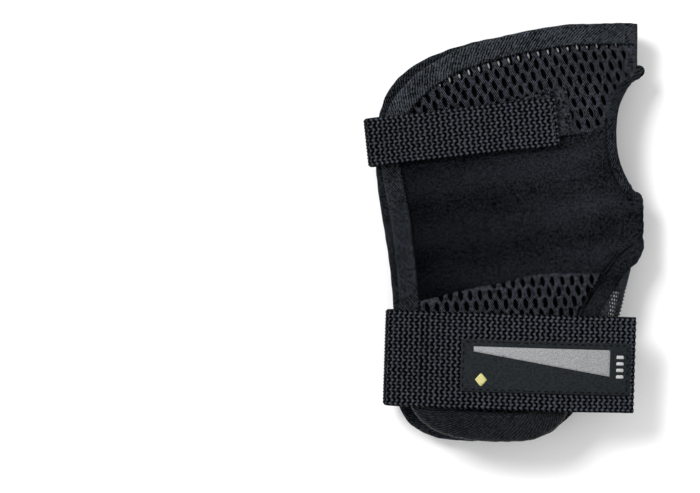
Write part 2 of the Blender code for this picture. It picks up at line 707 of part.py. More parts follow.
def build_hand_strap(group):
    strap = Strap(HAND_PIVOT, HAND_TURN, HAND_WIDTH)
    face = WEBBING / 2
    low = strap.under(face + BEND)
    count = 4
    inward = [HAND_ANCHOR + (face + BEND - HAND_ANCHOR) * k / count for k in range(count)]
    path = [Vector((x, strap.under(x))) for x in inward]
    path += corner(face, low, 1, 1, BEND)[::-1] + [Vector((face, strap.hinge_height() - GAP / 2))]
    strap.bar("hand_strap_base", path, "webbing", group)
    strap.bar("hand_strap_flap", flap_path(strap, HAND_END), "webbing", group)
    hook_lift = FLAP_LIFT - WEBBING / 2 - GAP - TAPE / 2
    strap.bar(
        "hand_strap_hook", over_run(strap, 34.0, HAND_END - 1.2, hook_lift), "hook_tape", group, TAPE,
        -HAND_WIDTH / 2 + 0.8, HAND_WIDTH / 2 - 0.8,
    )
    # The loop patch lies on the knuckle mesh, and its top edge and end show past the strap.
    patch = [(-34.0, 29.6), (27.7, 39.4), (24.0, 58.4), (-2.0, 51.6), (-37.0, 45.0)]
    outline = [Vector(p) for p in patch]
    patch_low = PANEL / 2 + GAP
    sheet("hand_loop_patch", outline, patch_low, patch_low + TAPE, back_height, "loop_tape", group)


def build_wrist_strap(group):
    strap = Strap(WRIST_PIVOT, WRIST_TURN, WRIST_WIDTH)
    face = WEBBING / 2
    # Sewn to the palm side near the thumb, it runs under the sleeve and up to the hinge.
    middle = -WRIST_PIVOT[0]
    under_sleeve = [
        (middle + 33.0, 5.4), (middle + 27.0, 2.2), (middle + 22.0, face), (middle - 22.0, face),
        (middle - 27.0, 2.2), (middle - 33.0, 5.4),
    ]
    path = [Vector((WRIST_ANCHOR, strap.under(WRIST_ANCHOR)))] + [Vector(p) for p in under_sleeve]
    low = strap.under(face + BEND)
    path += corner(face, low, 1, 1, BEND)[::-1] + [Vector((face, strap.hinge_height() - GAP / 2))]
    strap.bar("wrist_strap_base", path, "webbing", group)
    strap.bar("wrist_strap_flap", flap_path(strap, WRIST_END), "webbing", group)
    hook_lift = FLAP_LIFT - WEBBING / 2 - GAP - TAPE / 2
    strap.bar(
        "wrist_strap_hook", over_run(strap, 14.0, 64.0, hook_lift), "hook_tape", group, TAPE,
        -WRIST_WIDTH / 2 + 1.5, WRIST_WIDTH / 2 - 1.5,
    )
    patch_low = PANEL / 2 + GAP
    patch = rounded_rectangle(-31.5, 18.5, -66.5, -34.5, 2.0)
    sheet("wrist_loop_patch", patch, patch_low, patch_low + TAPE, back_height, "loop_tape", group)
    label_lift = FLAP_LIFT + WEBBING / 2 + GAP + LABEL / 2
    start, end = (x - WRIST_PIVOT[0] for x in LABEL_X)
    low, high = (y - WRIST_PIVOT[1] for y in LABEL_Y)
    shift = -(start + end) / 2 * math.sin(WRIST_TURN)
    strap.bar(
        "size_label", over_run(strap, start, end, label_lift), "woven_label", group, LABEL,
        low + shift, high + shift,
    )


def main():
    clear_scene()
    group = collection("wrist_guard")
    tools = collection("cutters")
    build_folds(group)
    build_back(group)
    panel = build_palm(group)
    build_palm_splint(group, tools, panel)
    build_sleeve(group)
    build_hand_strap(group)
    build_wrist_strap(group)


main()
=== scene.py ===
"""The looks of the left-hand wrist guard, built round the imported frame.

The guard lies palm down: +Z is up out of the back of the hand, +Y points to the fingers and +X to the
thumb. Shapes are worked out in millimetres, and MM makes them metres.
"""

import json
import math
import random

import bmesh
import bpy
import numpy as np
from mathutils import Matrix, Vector
from mathutils.geometry import delaunay_2d_cdt


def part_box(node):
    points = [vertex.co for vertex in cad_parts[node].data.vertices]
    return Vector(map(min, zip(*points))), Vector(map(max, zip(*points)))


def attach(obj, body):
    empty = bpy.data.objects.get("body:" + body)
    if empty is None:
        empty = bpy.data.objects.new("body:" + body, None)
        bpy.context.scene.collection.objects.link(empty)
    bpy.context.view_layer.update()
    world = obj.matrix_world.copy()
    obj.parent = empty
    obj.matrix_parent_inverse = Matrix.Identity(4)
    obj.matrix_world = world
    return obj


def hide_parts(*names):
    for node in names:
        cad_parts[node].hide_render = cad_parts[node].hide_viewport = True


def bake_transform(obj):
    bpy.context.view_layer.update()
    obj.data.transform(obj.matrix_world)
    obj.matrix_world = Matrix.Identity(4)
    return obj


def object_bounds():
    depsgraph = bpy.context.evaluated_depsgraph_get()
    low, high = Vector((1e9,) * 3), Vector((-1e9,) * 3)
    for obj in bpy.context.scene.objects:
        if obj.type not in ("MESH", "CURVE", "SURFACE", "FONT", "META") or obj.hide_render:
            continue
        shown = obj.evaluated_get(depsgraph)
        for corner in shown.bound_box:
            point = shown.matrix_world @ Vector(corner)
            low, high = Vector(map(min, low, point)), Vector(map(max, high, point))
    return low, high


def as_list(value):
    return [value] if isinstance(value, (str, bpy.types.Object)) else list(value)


MM = 0.001
UP = Vector((0, 0, 1))

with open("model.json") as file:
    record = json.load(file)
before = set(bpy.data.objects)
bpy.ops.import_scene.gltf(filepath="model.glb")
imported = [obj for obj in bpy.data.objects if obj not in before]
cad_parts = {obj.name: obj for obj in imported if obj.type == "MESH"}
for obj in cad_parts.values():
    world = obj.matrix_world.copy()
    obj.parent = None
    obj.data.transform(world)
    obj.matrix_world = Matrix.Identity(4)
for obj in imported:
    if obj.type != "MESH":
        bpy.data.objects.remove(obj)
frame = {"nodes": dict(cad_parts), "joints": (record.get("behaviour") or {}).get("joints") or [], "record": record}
cad_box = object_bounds()


# --- lines in a plane ---------------------------------------------------------------------------


def lengths(points):
    """The distance along the line at each of its points."""
    steps = np.linalg.norm(np.diff(points, axis=0), axis=1)
    return np.concatenate([[0], np.cumsum(steps)])


def resampled(points, count):
    """The line with this many points, evenly spaced."""
    points = np.asarray(points, float)
    at = lengths(points)
    wanted = np.linspace(0, at[-1], count)
    return np.stack([np.interp(wanted, at, column) for column in points.T], axis=1)


def spaced(points, step):
    return resampled(points, max(2, round(lengths(np.asarray(points, float))[-1] / step) + 1))


def evenly(loop, step):
    """A closed loop's points, step apart."""
    return spaced(np.concatenate([loop, loop[:1]]), step)[:-1]


def rounded(points, times):
    """Corners cut, and cut again, with the two ends kept."""
    points = np.asarray(points, float)
    for _ in range(times):
        near = 0.75 * points[:-1] + 0.25 * points[1:]
        far = 0.25 * points[:-1] + 0.75 * points[1:]
        between = np.stack([near, far], axis=1).reshape(-1, points.shape[1])
        points = np.concatenate([points[:1], between, points[-1:]])
    return points


def left_of(points):
    """The unit normal on the line's left at each point."""
    along = np.gradient(points, axis=0)
    along /= np.linalg.norm(along, axis=1)[:, None] + 1e-12
    return np.stack([-along[:, 1], along[:, 0]], axis=1)


def is_inside(places, loop):
    x, y = places[:, :1], places[:, 1:2]
    (ax, ay), (bx, by) = loop.T, np.roll(loop, -1, axis=0).T
    crosses = (ay > y) != (by > y)
    with np.errstate(divide="ignore", invalid="ignore"):
        at = ax + (y - ay) * (bx - ax) / (by - ay)
    return (crosses & (x < at)).sum(axis=1) % 2 == 1


def edge_distance(places, loop):
    """How far each place is from the closed loop."""
    nearest = np.full(len(places), 1e9)
    for a, b in zip(loop, np.roll(loop, -1, axis=0)):
        d = b - a
        t = np.clip((places - a) @ d / max(d @ d, 1e-12), 0, 1)
        nearest = np.minimum(nearest, np.linalg.norm(places - a - t[:, None] * d, axis=1))
    return nearest


def grown(loop, by):
    """A closed loop that runs anticlockwise, moved outwards."""
    around = np.concatenate([loop[-1:], loop, loop[:1]])
    return loop - left_of(around)[1:-1] * by


def eased(t):
    t = np.clip(t, 0, 1)
    return t * t * (3 - 2 * t)


def ripples(x, y, size, seed, stretch=1.0, turn=0.0, waves=18):
    """Soft random waves, about -1 to 1, of this size. stretch lengthens them along the turned X axis."""
    chance = np.random.default_rng(seed)
    c, s = math.cos(turn), math.sin(turn)
    u, v = (x * c + y * s) / stretch, -x * s + y * c
    total = np.zeros_like(np.asarray(x, float))
    for _ in range(waves):
        angle = chance.uniform(0, 2 * math.pi)
        rate = 2 * math.pi / (size * chance.uniform(0.7, 1.6))
        total = total + np.sin(rate * (u * math.cos(angle) + v * math.sin(angle)) + chance.uniform(0, 7))
    return total / math.sqrt(waves)


# --- what the frame says ------------------------------------------------------------------------


def points_of(node):
    data = frame["nodes"][node].data
    made = np.empty(len(data.vertices) * 3)
    data.vertices.foreach_get("co", made)
    return made.reshape(-1, 3) / MM


def outline(node, facing=UP):
    """The longest outline, in millimetres, of a CAD node's faces that look along facing."""
    shape = bmesh.new()
    shape.from_mesh(frame["nodes"][node].data)
    bmesh.ops.remove_doubles(shape, verts=shape.verts[:], dist=2e-6)
    shape.normal_update()
    following = {}
    for edge in shape.edges:
        seen = [face for face in edge.link_faces if face.normal.dot(facing) > 0.5]
        if len(seen) == 1:
            corner = next(loop for loop in seen[0].loops if loop.edge == edge)
            following[corner.vert] = corner.link_loop_next.vert
    loops = []
    while following:
        start, at = following.popitem()
        loop = [start.co[:]]
        while at in following:
            loop.append(at.co[:])
            at = following.pop(at)
        if at != start:
            loop.append(at.co[:])
        loops.append(np.array(loop) / MM)
    shape.free()
    return max(loops, key=lambda loop: lengths(loop)[-1])


def plan(node):
    return outline(node)[:, :2]


def rails(loop):
    """The two long sides of a band's outline, running the same way."""
    before, after = loop - np.roll(loop, 1, axis=0), np.roll(loop, -1, axis=0) - loop
    cosine = (before * after).sum(axis=1)
    cosine /= np.linalg.norm(before, axis=1) * np.linalg.norm(after, axis=1)
    corners = np.sort(np.argsort(cosine)[:4])
    sides = []
    for k in range(4):
        start, end = corners[k], corners[(k + 1) % 4]
        index = np.arange(start, end + 1 if end > start else end + 1 + len(loop)) % len(loop)
        sides.append(loop[index])
    sides.sort(key=lambda side: -lengths(side)[-1])
    return sides[0], sides[1][::-1]


def edge_rails(node):
    """A binding's outer and inner edge in plan."""
    a, b = rails(plan(node))
    return (a, b) if np.abs(a).sum(axis=1).mean() > np.abs(b).sum(axis=1).mean() else (b, a)


def middle_height(*starts):
    """The height of the middle of these CAD sheets, as a smooth function of X."""
    points = np.concatenate([points_of(n) for n in frame["nodes"] if n.startswith(starts)])
    curve = np.polynomial.Polynomial.fit(points[:, 0], points[:, 2], 7)
    return lambda x: curve(np.clip(x, points[:, 0].min() - 1, points[:, 0].max() + 1))


back = middle_height("back_knuckle", "back_stretch", "back_cuff_mesh", "back_top", "back_side", "back_thumb")
palm = middle_height("palm_panel", "palm_top", "palm_side", "palm_cuff")


def box_of(node):
    low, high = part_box(node)
    return np.array(low) / MM, np.array(high) / MM


# How far in from a fold's edge the back begins to turn down.
FOLD_REACH = 4.3


def rounding(fold):
    """The back's height where it runs on round this fold at the thumb side."""
    edge = box_of(fold)[1][0]
    start = edge - FOLD_REACH

    def height(x):
        rise = (back(start) - palm(start)) / 2
        over = np.clip((np.asarray(x, float) - start) / FOLD_REACH, 0, 0.97)
        return back(np.minimum(x, start)) - rise * (1 - np.sqrt(1 - over ** 2))

    return height


over_web, over_thenar = rounding("web_fold"), rounding("thenar_fold")


# --- making meshes ------------------------------------------------------------------------------


def piece(name, points, faces, material, slot, body, nodes=(), uv=None):
    """A mesh from points in millimetres. uv gives each point its place on the cloth, in metres."""
    data = bpy.data.meshes.new(name)
    data.from_pydata((np.asarray(points, float).reshape(-1, 3) * MM).tolist(), [], faces)
    data.materials.append(material)
    if uv is not None:
        corners = np.empty(len(data.loops), np.int32)
        data.loops.foreach_get("vertex_index", corners)
        layer = data.uv_layers.new(name="cloth")
        layer.data.foreach_set("uv", (np.asarray(uv).reshape(-1, 2)[corners] * MM).ravel())
    data.shade_smooth()
    obj = bpy.data.objects.new(name, data)
    bpy.context.scene.collection.objects.link(obj)
    if body:
        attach(obj, body)
    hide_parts(*nodes)
    return obj


def ring_faces(rings, around):
    """Faces of a capped tube of this many rings, each with around points."""
    faces = []
    for i in range(rings - 1):
        for k in range(around):
            a, b = i * around + k, i * around + (k + 1) % around
            faces.append((a, b, b + around, a + around))
    faces.append(tuple(range(around))[::-1])
    faces.append(tuple(range((rings - 1) * around, rings * around)))
    return faces


def is_near(places, hole, margin=0.0):
    """Whether each place lies in the box round this hole, which is margin larger on each side."""
    centre = hole.mean(axis=0)
    return (np.abs(places - centre) < np.abs(hole - centre).max(axis=0) + margin).all(axis=1)


def triangulated(loop, spacing, holes=()):
    """Points and triangles that fill the loop evenly, with the holes left open."""
    low, high = loop.min(axis=0), loop.max(axis=0)
    rows = np.arange(low[1], high[1], spacing * 0.87)
    grid = np.array([
        (x + k % 2 * spacing / 2, y)
        for k, y in enumerate(rows)
        for x in np.arange(low[0], high[0], spacing)
    ])
    grid = grid[is_inside(grid, loop)]
    grid = grid[edge_distance(grid, loop) > spacing * 0.6]
    for hole in holes:
        close = is_near(grid, hole, spacing)
        drop = np.zeros(len(grid), bool)
        near = grid[close]
        drop[close] = is_inside(near, hole) | (edge_distance(near, hole) < spacing * 0.45)
        grid = grid[~drop]
    rings = [loop, *holes]
    points, edges, start = [], [], 0
    for ring in rings:
        points.append(ring)
        edges += [(start + k, start + (k + 1) % len(ring)) for k in range(len(ring))]
        start += len(ring)
    points = np.concatenate([*points, grid])
    made = delaunay_2d_cdt([Vector(p) for p in points], edges, [], 0, 1e-5)
    places = np.array([v[:] for v in made[0]])
    faces = np.array([f for f in made[2] if len(f) == 3])
    centres = places[faces].mean(axis=1)
    keep = is_inside(centres, loop)
    for hole in holes:
        close = np.flatnonzero(keep & is_near(centres, hole))
        keep[close[is_inside(centres[close], hole)]] = False
    return places, faces[keep]


def shell_faces(faces, count):
    """The top's triangles, the bottom's, whose points come count later, and walls along the open edges."""
    ends = np.concatenate([faces[:, [0, 1]], faces[:, [1, 2]], faces[:, [2, 0]]])
    known = {tuple(e) for e in ends.tolist()}
    walls = [(b, a, a + count, b + count) for a, b in known if (b, a) not in known]
    return faces.tolist() + (faces[:, ::-1] + count).tolist() + walls


def slab(name, places, faces, top, bottom, material, slot, body, nodes=()):
    """A sheet with a top and a bottom height at each place, closed along its open edges."""
    used = np.unique(faces)
    index = np.full(len(places), -1)
    index[used] = np.arange(len(used))
    faces, places, top, bottom = index[faces], places[used], top[used], bottom[used]
    points = np.concatenate([np.column_stack([places, top]), np.column_stack([places, bottom])])
    uv = np.concatenate([places, places])
    return piece(name, points, shell_faces(faces, len(places)), material, slot, body, nodes, uv)


def declare_sheet(loop, surface, held, rests_on):
    """Works out how far along the rolled-out arch each point of the loop lies, and keeps nothing."""
    x = np.linspace(loop[:, 0].min(), loop[:, 0].max(), 200)
    across = np.interp(loop[:, 0], x, lengths(np.column_stack([x, surface(x)]))) * MM
    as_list(rests_on)


def cloth_panel(
    name, node, loop, spacing, surface, thickness, relief, slot, edge=1.6, facing=1, held="stretched",
    rests_on=(),
):
    """A panel over the outline, with softly rounded edges, that replaces the CAD node.

    relief gives the height of the outer face at each place. held=None skips declare_sheet().
    """
    loop = evenly(loop, spacing)
    places, faces = triangulated(loop, spacing)
    inward = edge_distance(places, loop)
    swell = np.sqrt(np.clip(1 - (1 - np.clip(inward / edge, 0, 1)) ** 2, 0, 1))
    middle, half = surface(places[:, 0]), thickness / 2
    outer = middle + facing * (half * (0.15 + 0.85 * swell) + relief(places[:, 0], places[:, 1], inward))
    inner = middle - facing * half * 0.9
    top, bottom = (outer, inner) if facing > 0 else (inner, outer)
    made = slab(name, places, faces, top, bottom, LOOKS[slot], slot, "guard", [node])
    if held:
        declare_sheet(loop, surface, held, rests_on)
    return made


def rippled(depth, size, seed, rim=None):
    """A cloth panel's relief: soft waves, which rise over rim from its edge."""
    def relief(x, y, inward):
        waves = depth * ripples(x, y, size, seed)
        return waves * eased(inward / rim) if rim else waves

    return relief


# --- materials ----------------------------------------------------------------------------------

# The stretch panel's loose folds: how far apart, how they turn, and where one of the hollows lies.
FOLD_PITCH, FOLD_TURN, FOLD_START = 20.3, math.radians(80), 6.2
# The webbing's columns across the strap, the floats down each column, and how far they zigzag.
WEAVE_COLUMN, WEAVE_FLOAT, WEAVE_ZIGZAG = 2.2, 1.35, 0.42


class Look:
    """A procedural material, built up in small steps."""

    def __init__(self, name, roughness, specular, sheen=0.0, metallic=0.0):
        self.material = bpy.data.materials.new(name)
        self.material.use_nodes = True
        self.nodes = self.material.node_tree.nodes
        self.links = self.material.node_tree.links
        self.shader = self.nodes["Principled BSDF"]
        for socket, value in {
            "Roughness": roughness, "Specular IOR Level": specular, "Sheen Weight": sheen,
            "Sheen Roughness": 0.5, "Metallic": metallic,
        }.items():
            self.shader.inputs[socket].default_value = value
        self.place = self.nodes.new("ShaderNodeTexCoord")

    def node(self, kind, **values):
        made = self.nodes.new(kind)
        for key, value in values.items():
            if hasattr(made, key):
                setattr(made, key, value)
            else:
                made.inputs[key.replace("_", " ")].default_value = value
        return made

    def coordinates(self, kind, turn=0.0, stretch=1.0):
        """The place on the cloth, turned about Z, then squeezed along X so that marks there grow long."""
        mapping = self.node("ShaderNodeMapping")
        mapping.inputs["Rotation"].default_value = (0, 0, turn)
        mapping.inputs["Scale"].default_value = (1 / stretch, 1, 1)
        self.links.new(self.place.outputs[kind], mapping.inputs["Vector"])
        return mapping.outputs["Vector"]

    def maths(self, operation, first, second):
        made = self.node("ShaderNodeMath", operation=operation)
        for socket, value in zip(made.inputs, (first, second)):
            if isinstance(value, (int, float)):
                socket.default_value = value
            else:
                self.links.new(value, socket)
        return made.outputs["Value"]

    def wave(self, period, turn, kind="Object", distortion=0.0, phase=0.0):
        """Even bands, period metres apart, across the turned X axis."""
        made = self.node("ShaderNodeTexWave", Scale=2 * math.pi / (20 * period), Distortion=distortion)
        made.inputs["Phase Offset"].default_value = phase
        self.links.new(self.coordinates(kind, turn), made.inputs["Vector"])
        return made.outputs["Fac"]

    def noise(self, size, detail, turn=0.0, stretch=1.0):
        made = self.node("ShaderNodeTexNoise", Scale=1 / size, Detail=detail)
        self.links.new(self.coordinates("Object", turn, stretch), made.inputs["Vector"])
        return made.outputs["Fac"]

    def weighed(self, *terms):
        """The sum of (weight, value) pairs."""
        total = 0.0
        for weight, value in terms:
            total = self.maths("ADD", total, self.maths("MULTIPLY", value, weight))
        return total

    def checks(self, period):
        """-1 to 1 in a chequered pattern that repeats every period metres both ways."""
        sides = []
        for turn in (0.0, math.pi / 2):
            sides.append(self.maths("SUBTRACT", self.maths("MULTIPLY", self.wave(period, turn), 2), 1))
        return self.maths("MULTIPLY", *sides)

    def split(self, kind):
        """The sockets that hold the place's X, Y and Z."""
        made = self.node("ShaderNodeSeparateXYZ")
        self.links.new(self.coordinates(kind), made.inputs["Vector"])
        return made.outputs

    def colour(self, dark, light, by, narrow=(0.3, 0.7)):
        """From dark to light as the value by rises through narrow."""
        low, high = narrow
        share = self.maths("MULTIPLY", self.maths("SUBTRACT", by, low), 1 / (high - low))
        ramp = self.node("ShaderNodeValToRGB")
        ramp.color_ramp.elements[0].color = (*dark, 1)
        ramp.color_ramp.elements[1].color = (*light, 1)
        self.links.new(share, ramp.inputs["Fac"])
        self.links.new(ramp.outputs["Color"], self.shader.inputs["Base Color"])
        return self

    def bump(self, height, depth):
        made = self.node("ShaderNodeBump", Strength=1.0, Distance=depth)
        self.links.new(height, made.inputs["Height"])
        self.links.new(made.outputs["Normal"], self.shader.inputs["Normal"])
        return self


def shade(colour, by):
    return tuple(c * by for c in colour)


def knit_look():
    """Fine stretch knit: close ribs crossed by courses, with painted shade along its loose folds and in broad soft
    bands.
    """
    look = Look("stretch_knit", 0.95, 0.0)
    stitch = look.checks(0.0010)
    grain = look.weighed((0.25, stitch), (2.1, look.noise(0.00085, 2)))
    # Painted shade: broad soft dark and light bands, turned and stretched like the wide waves in knit_relief().
    painted_broad_shade = look.noise(0.015, 2, turn=math.radians(-14), stretch=2.6)
    # Painted shade in bands along the loose folds that knit_relief() shapes.
    phase = -2 * math.pi * FOLD_START / FOLD_PITCH
    folds = look.wave(FOLD_PITCH * MM, FOLD_TURN, distortion=1.0, phase=phase)
    tone = look.weighed((1.0, grain), (0.7, painted_broad_shade), (0.25, folds), (-1.02, 1.0))
    place = look.split("Object")
    paler = look.weighed((1.0, 1.0), (14.0, place["X"]), (10.0, place["Y"]))
    tone = look.maths("MULTIPLY", tone, paler)
    base = (0.0029, 0.0033, 0.0041)
    return look.colour(shade(base, 0.0), shade(base, 9.0), tone, (0.0, 1.65)).bump(grain, 0.0006).material


def mesh_look():
    """The mesh's knitted face: crossing yarns with a fine grain."""
    look = Look("air_mesh", 0.75, 0.02)
    crossing = look.maths("ADD", look.wave(0.0007, 0.6), look.wave(0.0007, -0.6))
    grain = look.weighed((0.35, crossing), (1.0, look.noise(0.0010, 1.5)))
    base = (0.0140, 0.0158, 0.0194)
    return look.colour(shade(base, 0.05), shade(base, 4.0), grain, (0.66, 1.15)).bump(grain, 0.0004).material


def tape_look(name, base, roughness=0.7, specular=0.02, ridge=0.00085):
    """Twill tape: fine slanting ridges along its length."""
    look = Look(name, roughness, specular)
    twill = look.wave(ridge, math.radians(52), "UV", distortion=3.5)
    grain = look.weighed((0.5, twill), (1.5, look.noise(0.0010, 2)), (0.5, look.noise(0.008, 2)))
    return look.colour(shade(base, 0.0), shade(base, 4.4), grain, (0.98, 1.62)).bump(grain, 0.0006).material


def webbing_look():
    """Woven strap, laid out as in weave(): its raised floats painted bright as painted highlights, and its pits
    painted black as painted shade.
    """
    look = Look("webbing", 0.5, 0.02)
    place = look.split("UV")
    u, w = (look.maths("MULTIPLY", place[axis], 1 / MM) for axis in ("X", "Y"))
    across = look.maths("MULTIPLY", w, math.pi / WEAVE_FLOAT)
    zigzag = look.maths("SINE", across, 0)
    swung = look.weighed((1.0, u), (WEAVE_ZIGZAG, zigzag), (0.7, look.noise(0.004, 2)))
    columns = look.maths("COSINE", look.maths("MULTIPLY", swung, 2 * math.pi / WEAVE_COLUMN), 0)
    floats = look.maths("COSINE", look.maths("MULTIPLY", across, 2), 0)
    # The floats' bright tone is painted highlight, and the near-black between them is painted shade.
    tone = look.weighed((0.42, columns), (-0.26, floats), (1.5, look.noise(0.0010, 3)))
    base = (0.0056, 0.0064, 0.0079)
    return look.colour(shade(base, 0.0), shade(base, 11.0), tone, (0.56, 1.56)).bump(tone, 0.0005).material


def plain_look(name, base, roughness, size, depth, specular, **more):
    """A grain of this size, in colour and in relief."""
    look = Look(name, roughness, specular, **more)
    grain = look.noise(size, 4)
    return look.colour(shade(base, 0.6), shade(base, 1.4), grain).bump(grain, depth).material


def woven_look(name, base, period, depth=0.00012):
    """A plain weave of fine square threads."""
    look = Look(name, 0.75, 0.05)
    over = look.checks(period)
    grain = look.weighed((0.3, over), (1.0, look.noise(0.0009, 3)))
    return look.colour(shade(base, 0.45), shade(base, 1.6), grain).bump(grain, depth).material


def fuzz_look():
    """Brushed loops: fibre ends painted pale, a painted highlight where they catch the light, over a dark ground.
    """
    look = Look("loop_tape", 0.9, 0.03)
    grain = look.weighed((1.0, look.noise(0.0009, 3)), (0.5, look.noise(0.003, 2)))
    base = (0.0095, 0.0107, 0.0130)
    return look.colour(shade(base, 0.05), shade(base, 5.0), grain, (0.62, 1.0)).bump(grain, 0.0008).material


def paper_look():
    """Plain white paper."""
    look = Look("paper", 0.9, 0.0)
    grain = look.noise(0.0007, 2)
    return look.colour((0.93, 0.93, 0.93), (0.95, 0.95, 0.95), grain).bump(grain, 0.00001).material


LOOKS = {
    "stretch_knit": knit_look(),
    "air_mesh": mesh_look(),
    "binding_tape": tape_look("binding_tape", (0.0068, 0.0079, 0.0098)),
    "top_tape": tape_look("top_tape", (0.0125, 0.0145, 0.0172)),
    # The cuff tape's darker base colour is painted shade, for the shade along the wrist strap.
    "cuff_tape": tape_look(
        "cuff_tape", (0.0032, 0.0038, 0.0048), roughness=0.45, specular=0.08, ridge=0.0011
    ),
    "webbing": webbing_look(),
    "hook_tape": plain_look("hook_tape", (0.0045, 0.0045, 0.005), 0.7, 0.0009, 0.0004, 0.05),
    "loop_tape": fuzz_look(),
    "woven_label": woven_look("woven_label", (0.0125, 0.0150, 0.0168), 0.0009),
    "palm_fabric": woven_look("palm_fabric", (0.0095, 0.0103, 0.0120), 0.0011, 0.0003),
    "lining_fabric": plain_look(
        "lining_fabric", (0.012, 0.013, 0.015), 0.95, 0.0007, 0.0003, 0.05, sheen=0.1
    ),
    "foam": plain_look("foam", (0.020, 0.021, 0.023), 0.95, 0.0009, 0.0004, 0.05, sheen=0.1),
    "splint_plastic": plain_look("splint_plastic", (0.0105, 0.0105, 0.011), 0.48, 0.0007, 0.0001, 0.3),
    "rivet_metal": plain_look("rivet_metal", (0.15, 0.15, 0.155), 0.4, 0.0007, 0.00002, 0.5, metallic=1.0),
}
# Dark thread for real stitches, also used beside the tapes' edges, where its dark rows are painted shade lines.
DARK_THREAD_AND_SHADE_LINE = plain_look("dark_thread_and_shade_line", (0.0022, 0.0025, 0.0030), 0.8, 0.0004, 0.0001, 0.03)
THREAD = plain_look("thread", (0.022, 0.025, 0.030), 0.6, 0.0003, 0.0001, 0.2)
SILVER = plain_look("silver_weave", (0.245, 0.250, 0.255), 0.6, 0.0004, 0.0001, 0.25)
PALE = plain_look("pale_thread", (0.45, 0.45, 0.45), 0.6, 0.0004, 0.00008, 0.2)
YELLOW = plain_look("yellow_thread", (0.50, 0.46, 0.19), 0.6, 0.0004, 0.00008, 0.2)


# --- back panels --------------------------------------------------------------------------------

# A hole's size, the points round it, and the distance from one to the next along a row.
HOLE_HALF_WIDTH, HOLE_HALF_LENGTH = 0.98, 2.12
HOLE_POINTS = 12
HOLE_PITCH = 3.93
# The distance between the points of the knitted face.
MESH_SPACING = 0.62
# A back panel's thickness, and how far a mesh panel runs on under the tapes.
PANEL, UNDER_TAPE = 3.0, 3.0
# The thickness of a mesh panel's two layers.
FACE_CLOTH, GROUND_CLOTH = 0.9, 0.5
# How high the face rises between its holes, and over what distance from a hole's rim.
RIM_RISE, RIM_REACH = 0.55, 0.35


def pointed_oval(x, y, lean, size):
    """An upright hole, pointed at its ends, whose top leans to the left by lean times its height."""
    made = []
    for k in range(HOLE_POINTS):
        angle = 2 * math.pi * k / HOLE_POINTS
        up = HOLE_HALF_LENGTH * size * math.sin(angle)
        wide = HOLE_HALF_WIDTH * size * math.cos(angle) * (0.78 + 0.22 * abs(math.cos(angle)))
        made.append((x + wide - lean * up, y + up))
    return np.array(made)


class Rows:
    """How a mesh's holes lie: rows that follow line(x), each drop below the last and shift further along."""

    def __init__(self, line, start, drop, shift, lean):
        self.line, self.start, self.drop, self.shift, self.lean = line, start, drop, shift, lean

    def centres(self, loop):
        low, high = loop.min(axis=0), loop.max(axis=0)
        found = []
        for row in range(-3, math.ceil((high[1] - low[1]) / self.drop) + 8):
            first = self.start + row * self.shift
            first += HOLE_PITCH * math.floor((low[0] - first) / HOLE_PITCH)
            for x in np.arange(first, high[0] + HOLE_PITCH, HOLE_PITCH):
                found.append((x, self.line(x - row * self.shift) - row * self.drop, row))
        found = np.array(found)
        return found[is_inside(found[:, :2], loop)]


def air_mesh_panel(name, node, rows, surface, seed, reach=None):
    """Spacer mesh: a knitted face with rows of pointed holes, over a ground layer painted near black, painted
    shade seen through the holes.

    It runs on under the tapes round it. Its thumb side is moved out to reach. Returns its first row of holes.
    """
    seam = plan(node)
    if reach:
        seam[seam[:, 0] > reach - 5.0, 0] = reach
    seam = evenly(seam, 1.2)
    loop = grown(seam, UNDER_TAPE)
    if reach:
        loop[:, 0] = np.minimum(loop[:, 0], reach)
    chance = random.Random(seed)
    holes, first_row = [], []
    for x, y, row in rows.centres(loop):
        shift = chance.uniform(-0.1, 0.1)
        lean = rows.lean + chance.uniform(-0.05, 0.05)
        oval = pointed_oval(x + shift, y, lean, chance.uniform(0.93, 1.05))
        if edge_distance(oval, loop).min() > 0.3 and is_inside(oval, loop).all():
            holes.append(oval)
            if row == 0:
                first_row.append((x + shift, y))
    places, faces = triangulated(loop, MESH_SPACING, holes)
    x, y = places.T
    rims = np.concatenate(holes)
    near = np.concatenate([
        np.sqrt(((some[:, None] - rims[None]) ** 2).sum(axis=2).min(axis=1))
        for some in np.array_split(places, len(places) // 2000 + 1)
    ])
    round_rim = RIM_RISE * (1 - np.exp(-near / RIM_REACH))
    margin = edge_distance(places, seam) * np.where(is_inside(places, seam), 1, -1)
    tuck = 0.6 * eased(margin / UNDER_TAPE) - 0.7 * eased(-margin / 1.5)
    top = surface(x) + PANEL / 2 - 0.85 + round_rim + tuck + 0.12 * ripples(x, y, 9, seed)
    bottom = top - FACE_CLOTH - 0.1 * round_rim
    face = slab(name, places, faces, top, bottom, LOOKS["air_mesh"], "air_mesh", "guard", [node])
    ground, ground_faces = triangulated(loop, 2.0)
    under = surface(ground[:, 0]) - 0.9
    layer = slab(
        name + "_ground", ground, ground_faces, under, under - GROUND_CLOTH, GROUND, "air_mesh", "guard"
    )
    declare_sheet(loop, surface, "stretched", [layer.name])
    declare_sheet(loop, surface, "stretched", ["back_lining_cloth"])
    return first_row


# The mesh's ground layer, painted near black: painted shade seen through the holes.
GROUND = plain_look("mesh_ground_hole_shade", (0.0018, 0.0020, 0.0025), 0.9, 0.0008, 0.0003, 0.02)
# Pale yarn whose pale colour is a painted highlight: the glints in the mesh's first row of holes.
PAINTED_GLINT_YARN = plain_look("painted_glint_yarn", (0.24, 0.245, 0.25), 0.45, 0.0009, 0.0001, 0.4)
THREAD_SIDES = 6


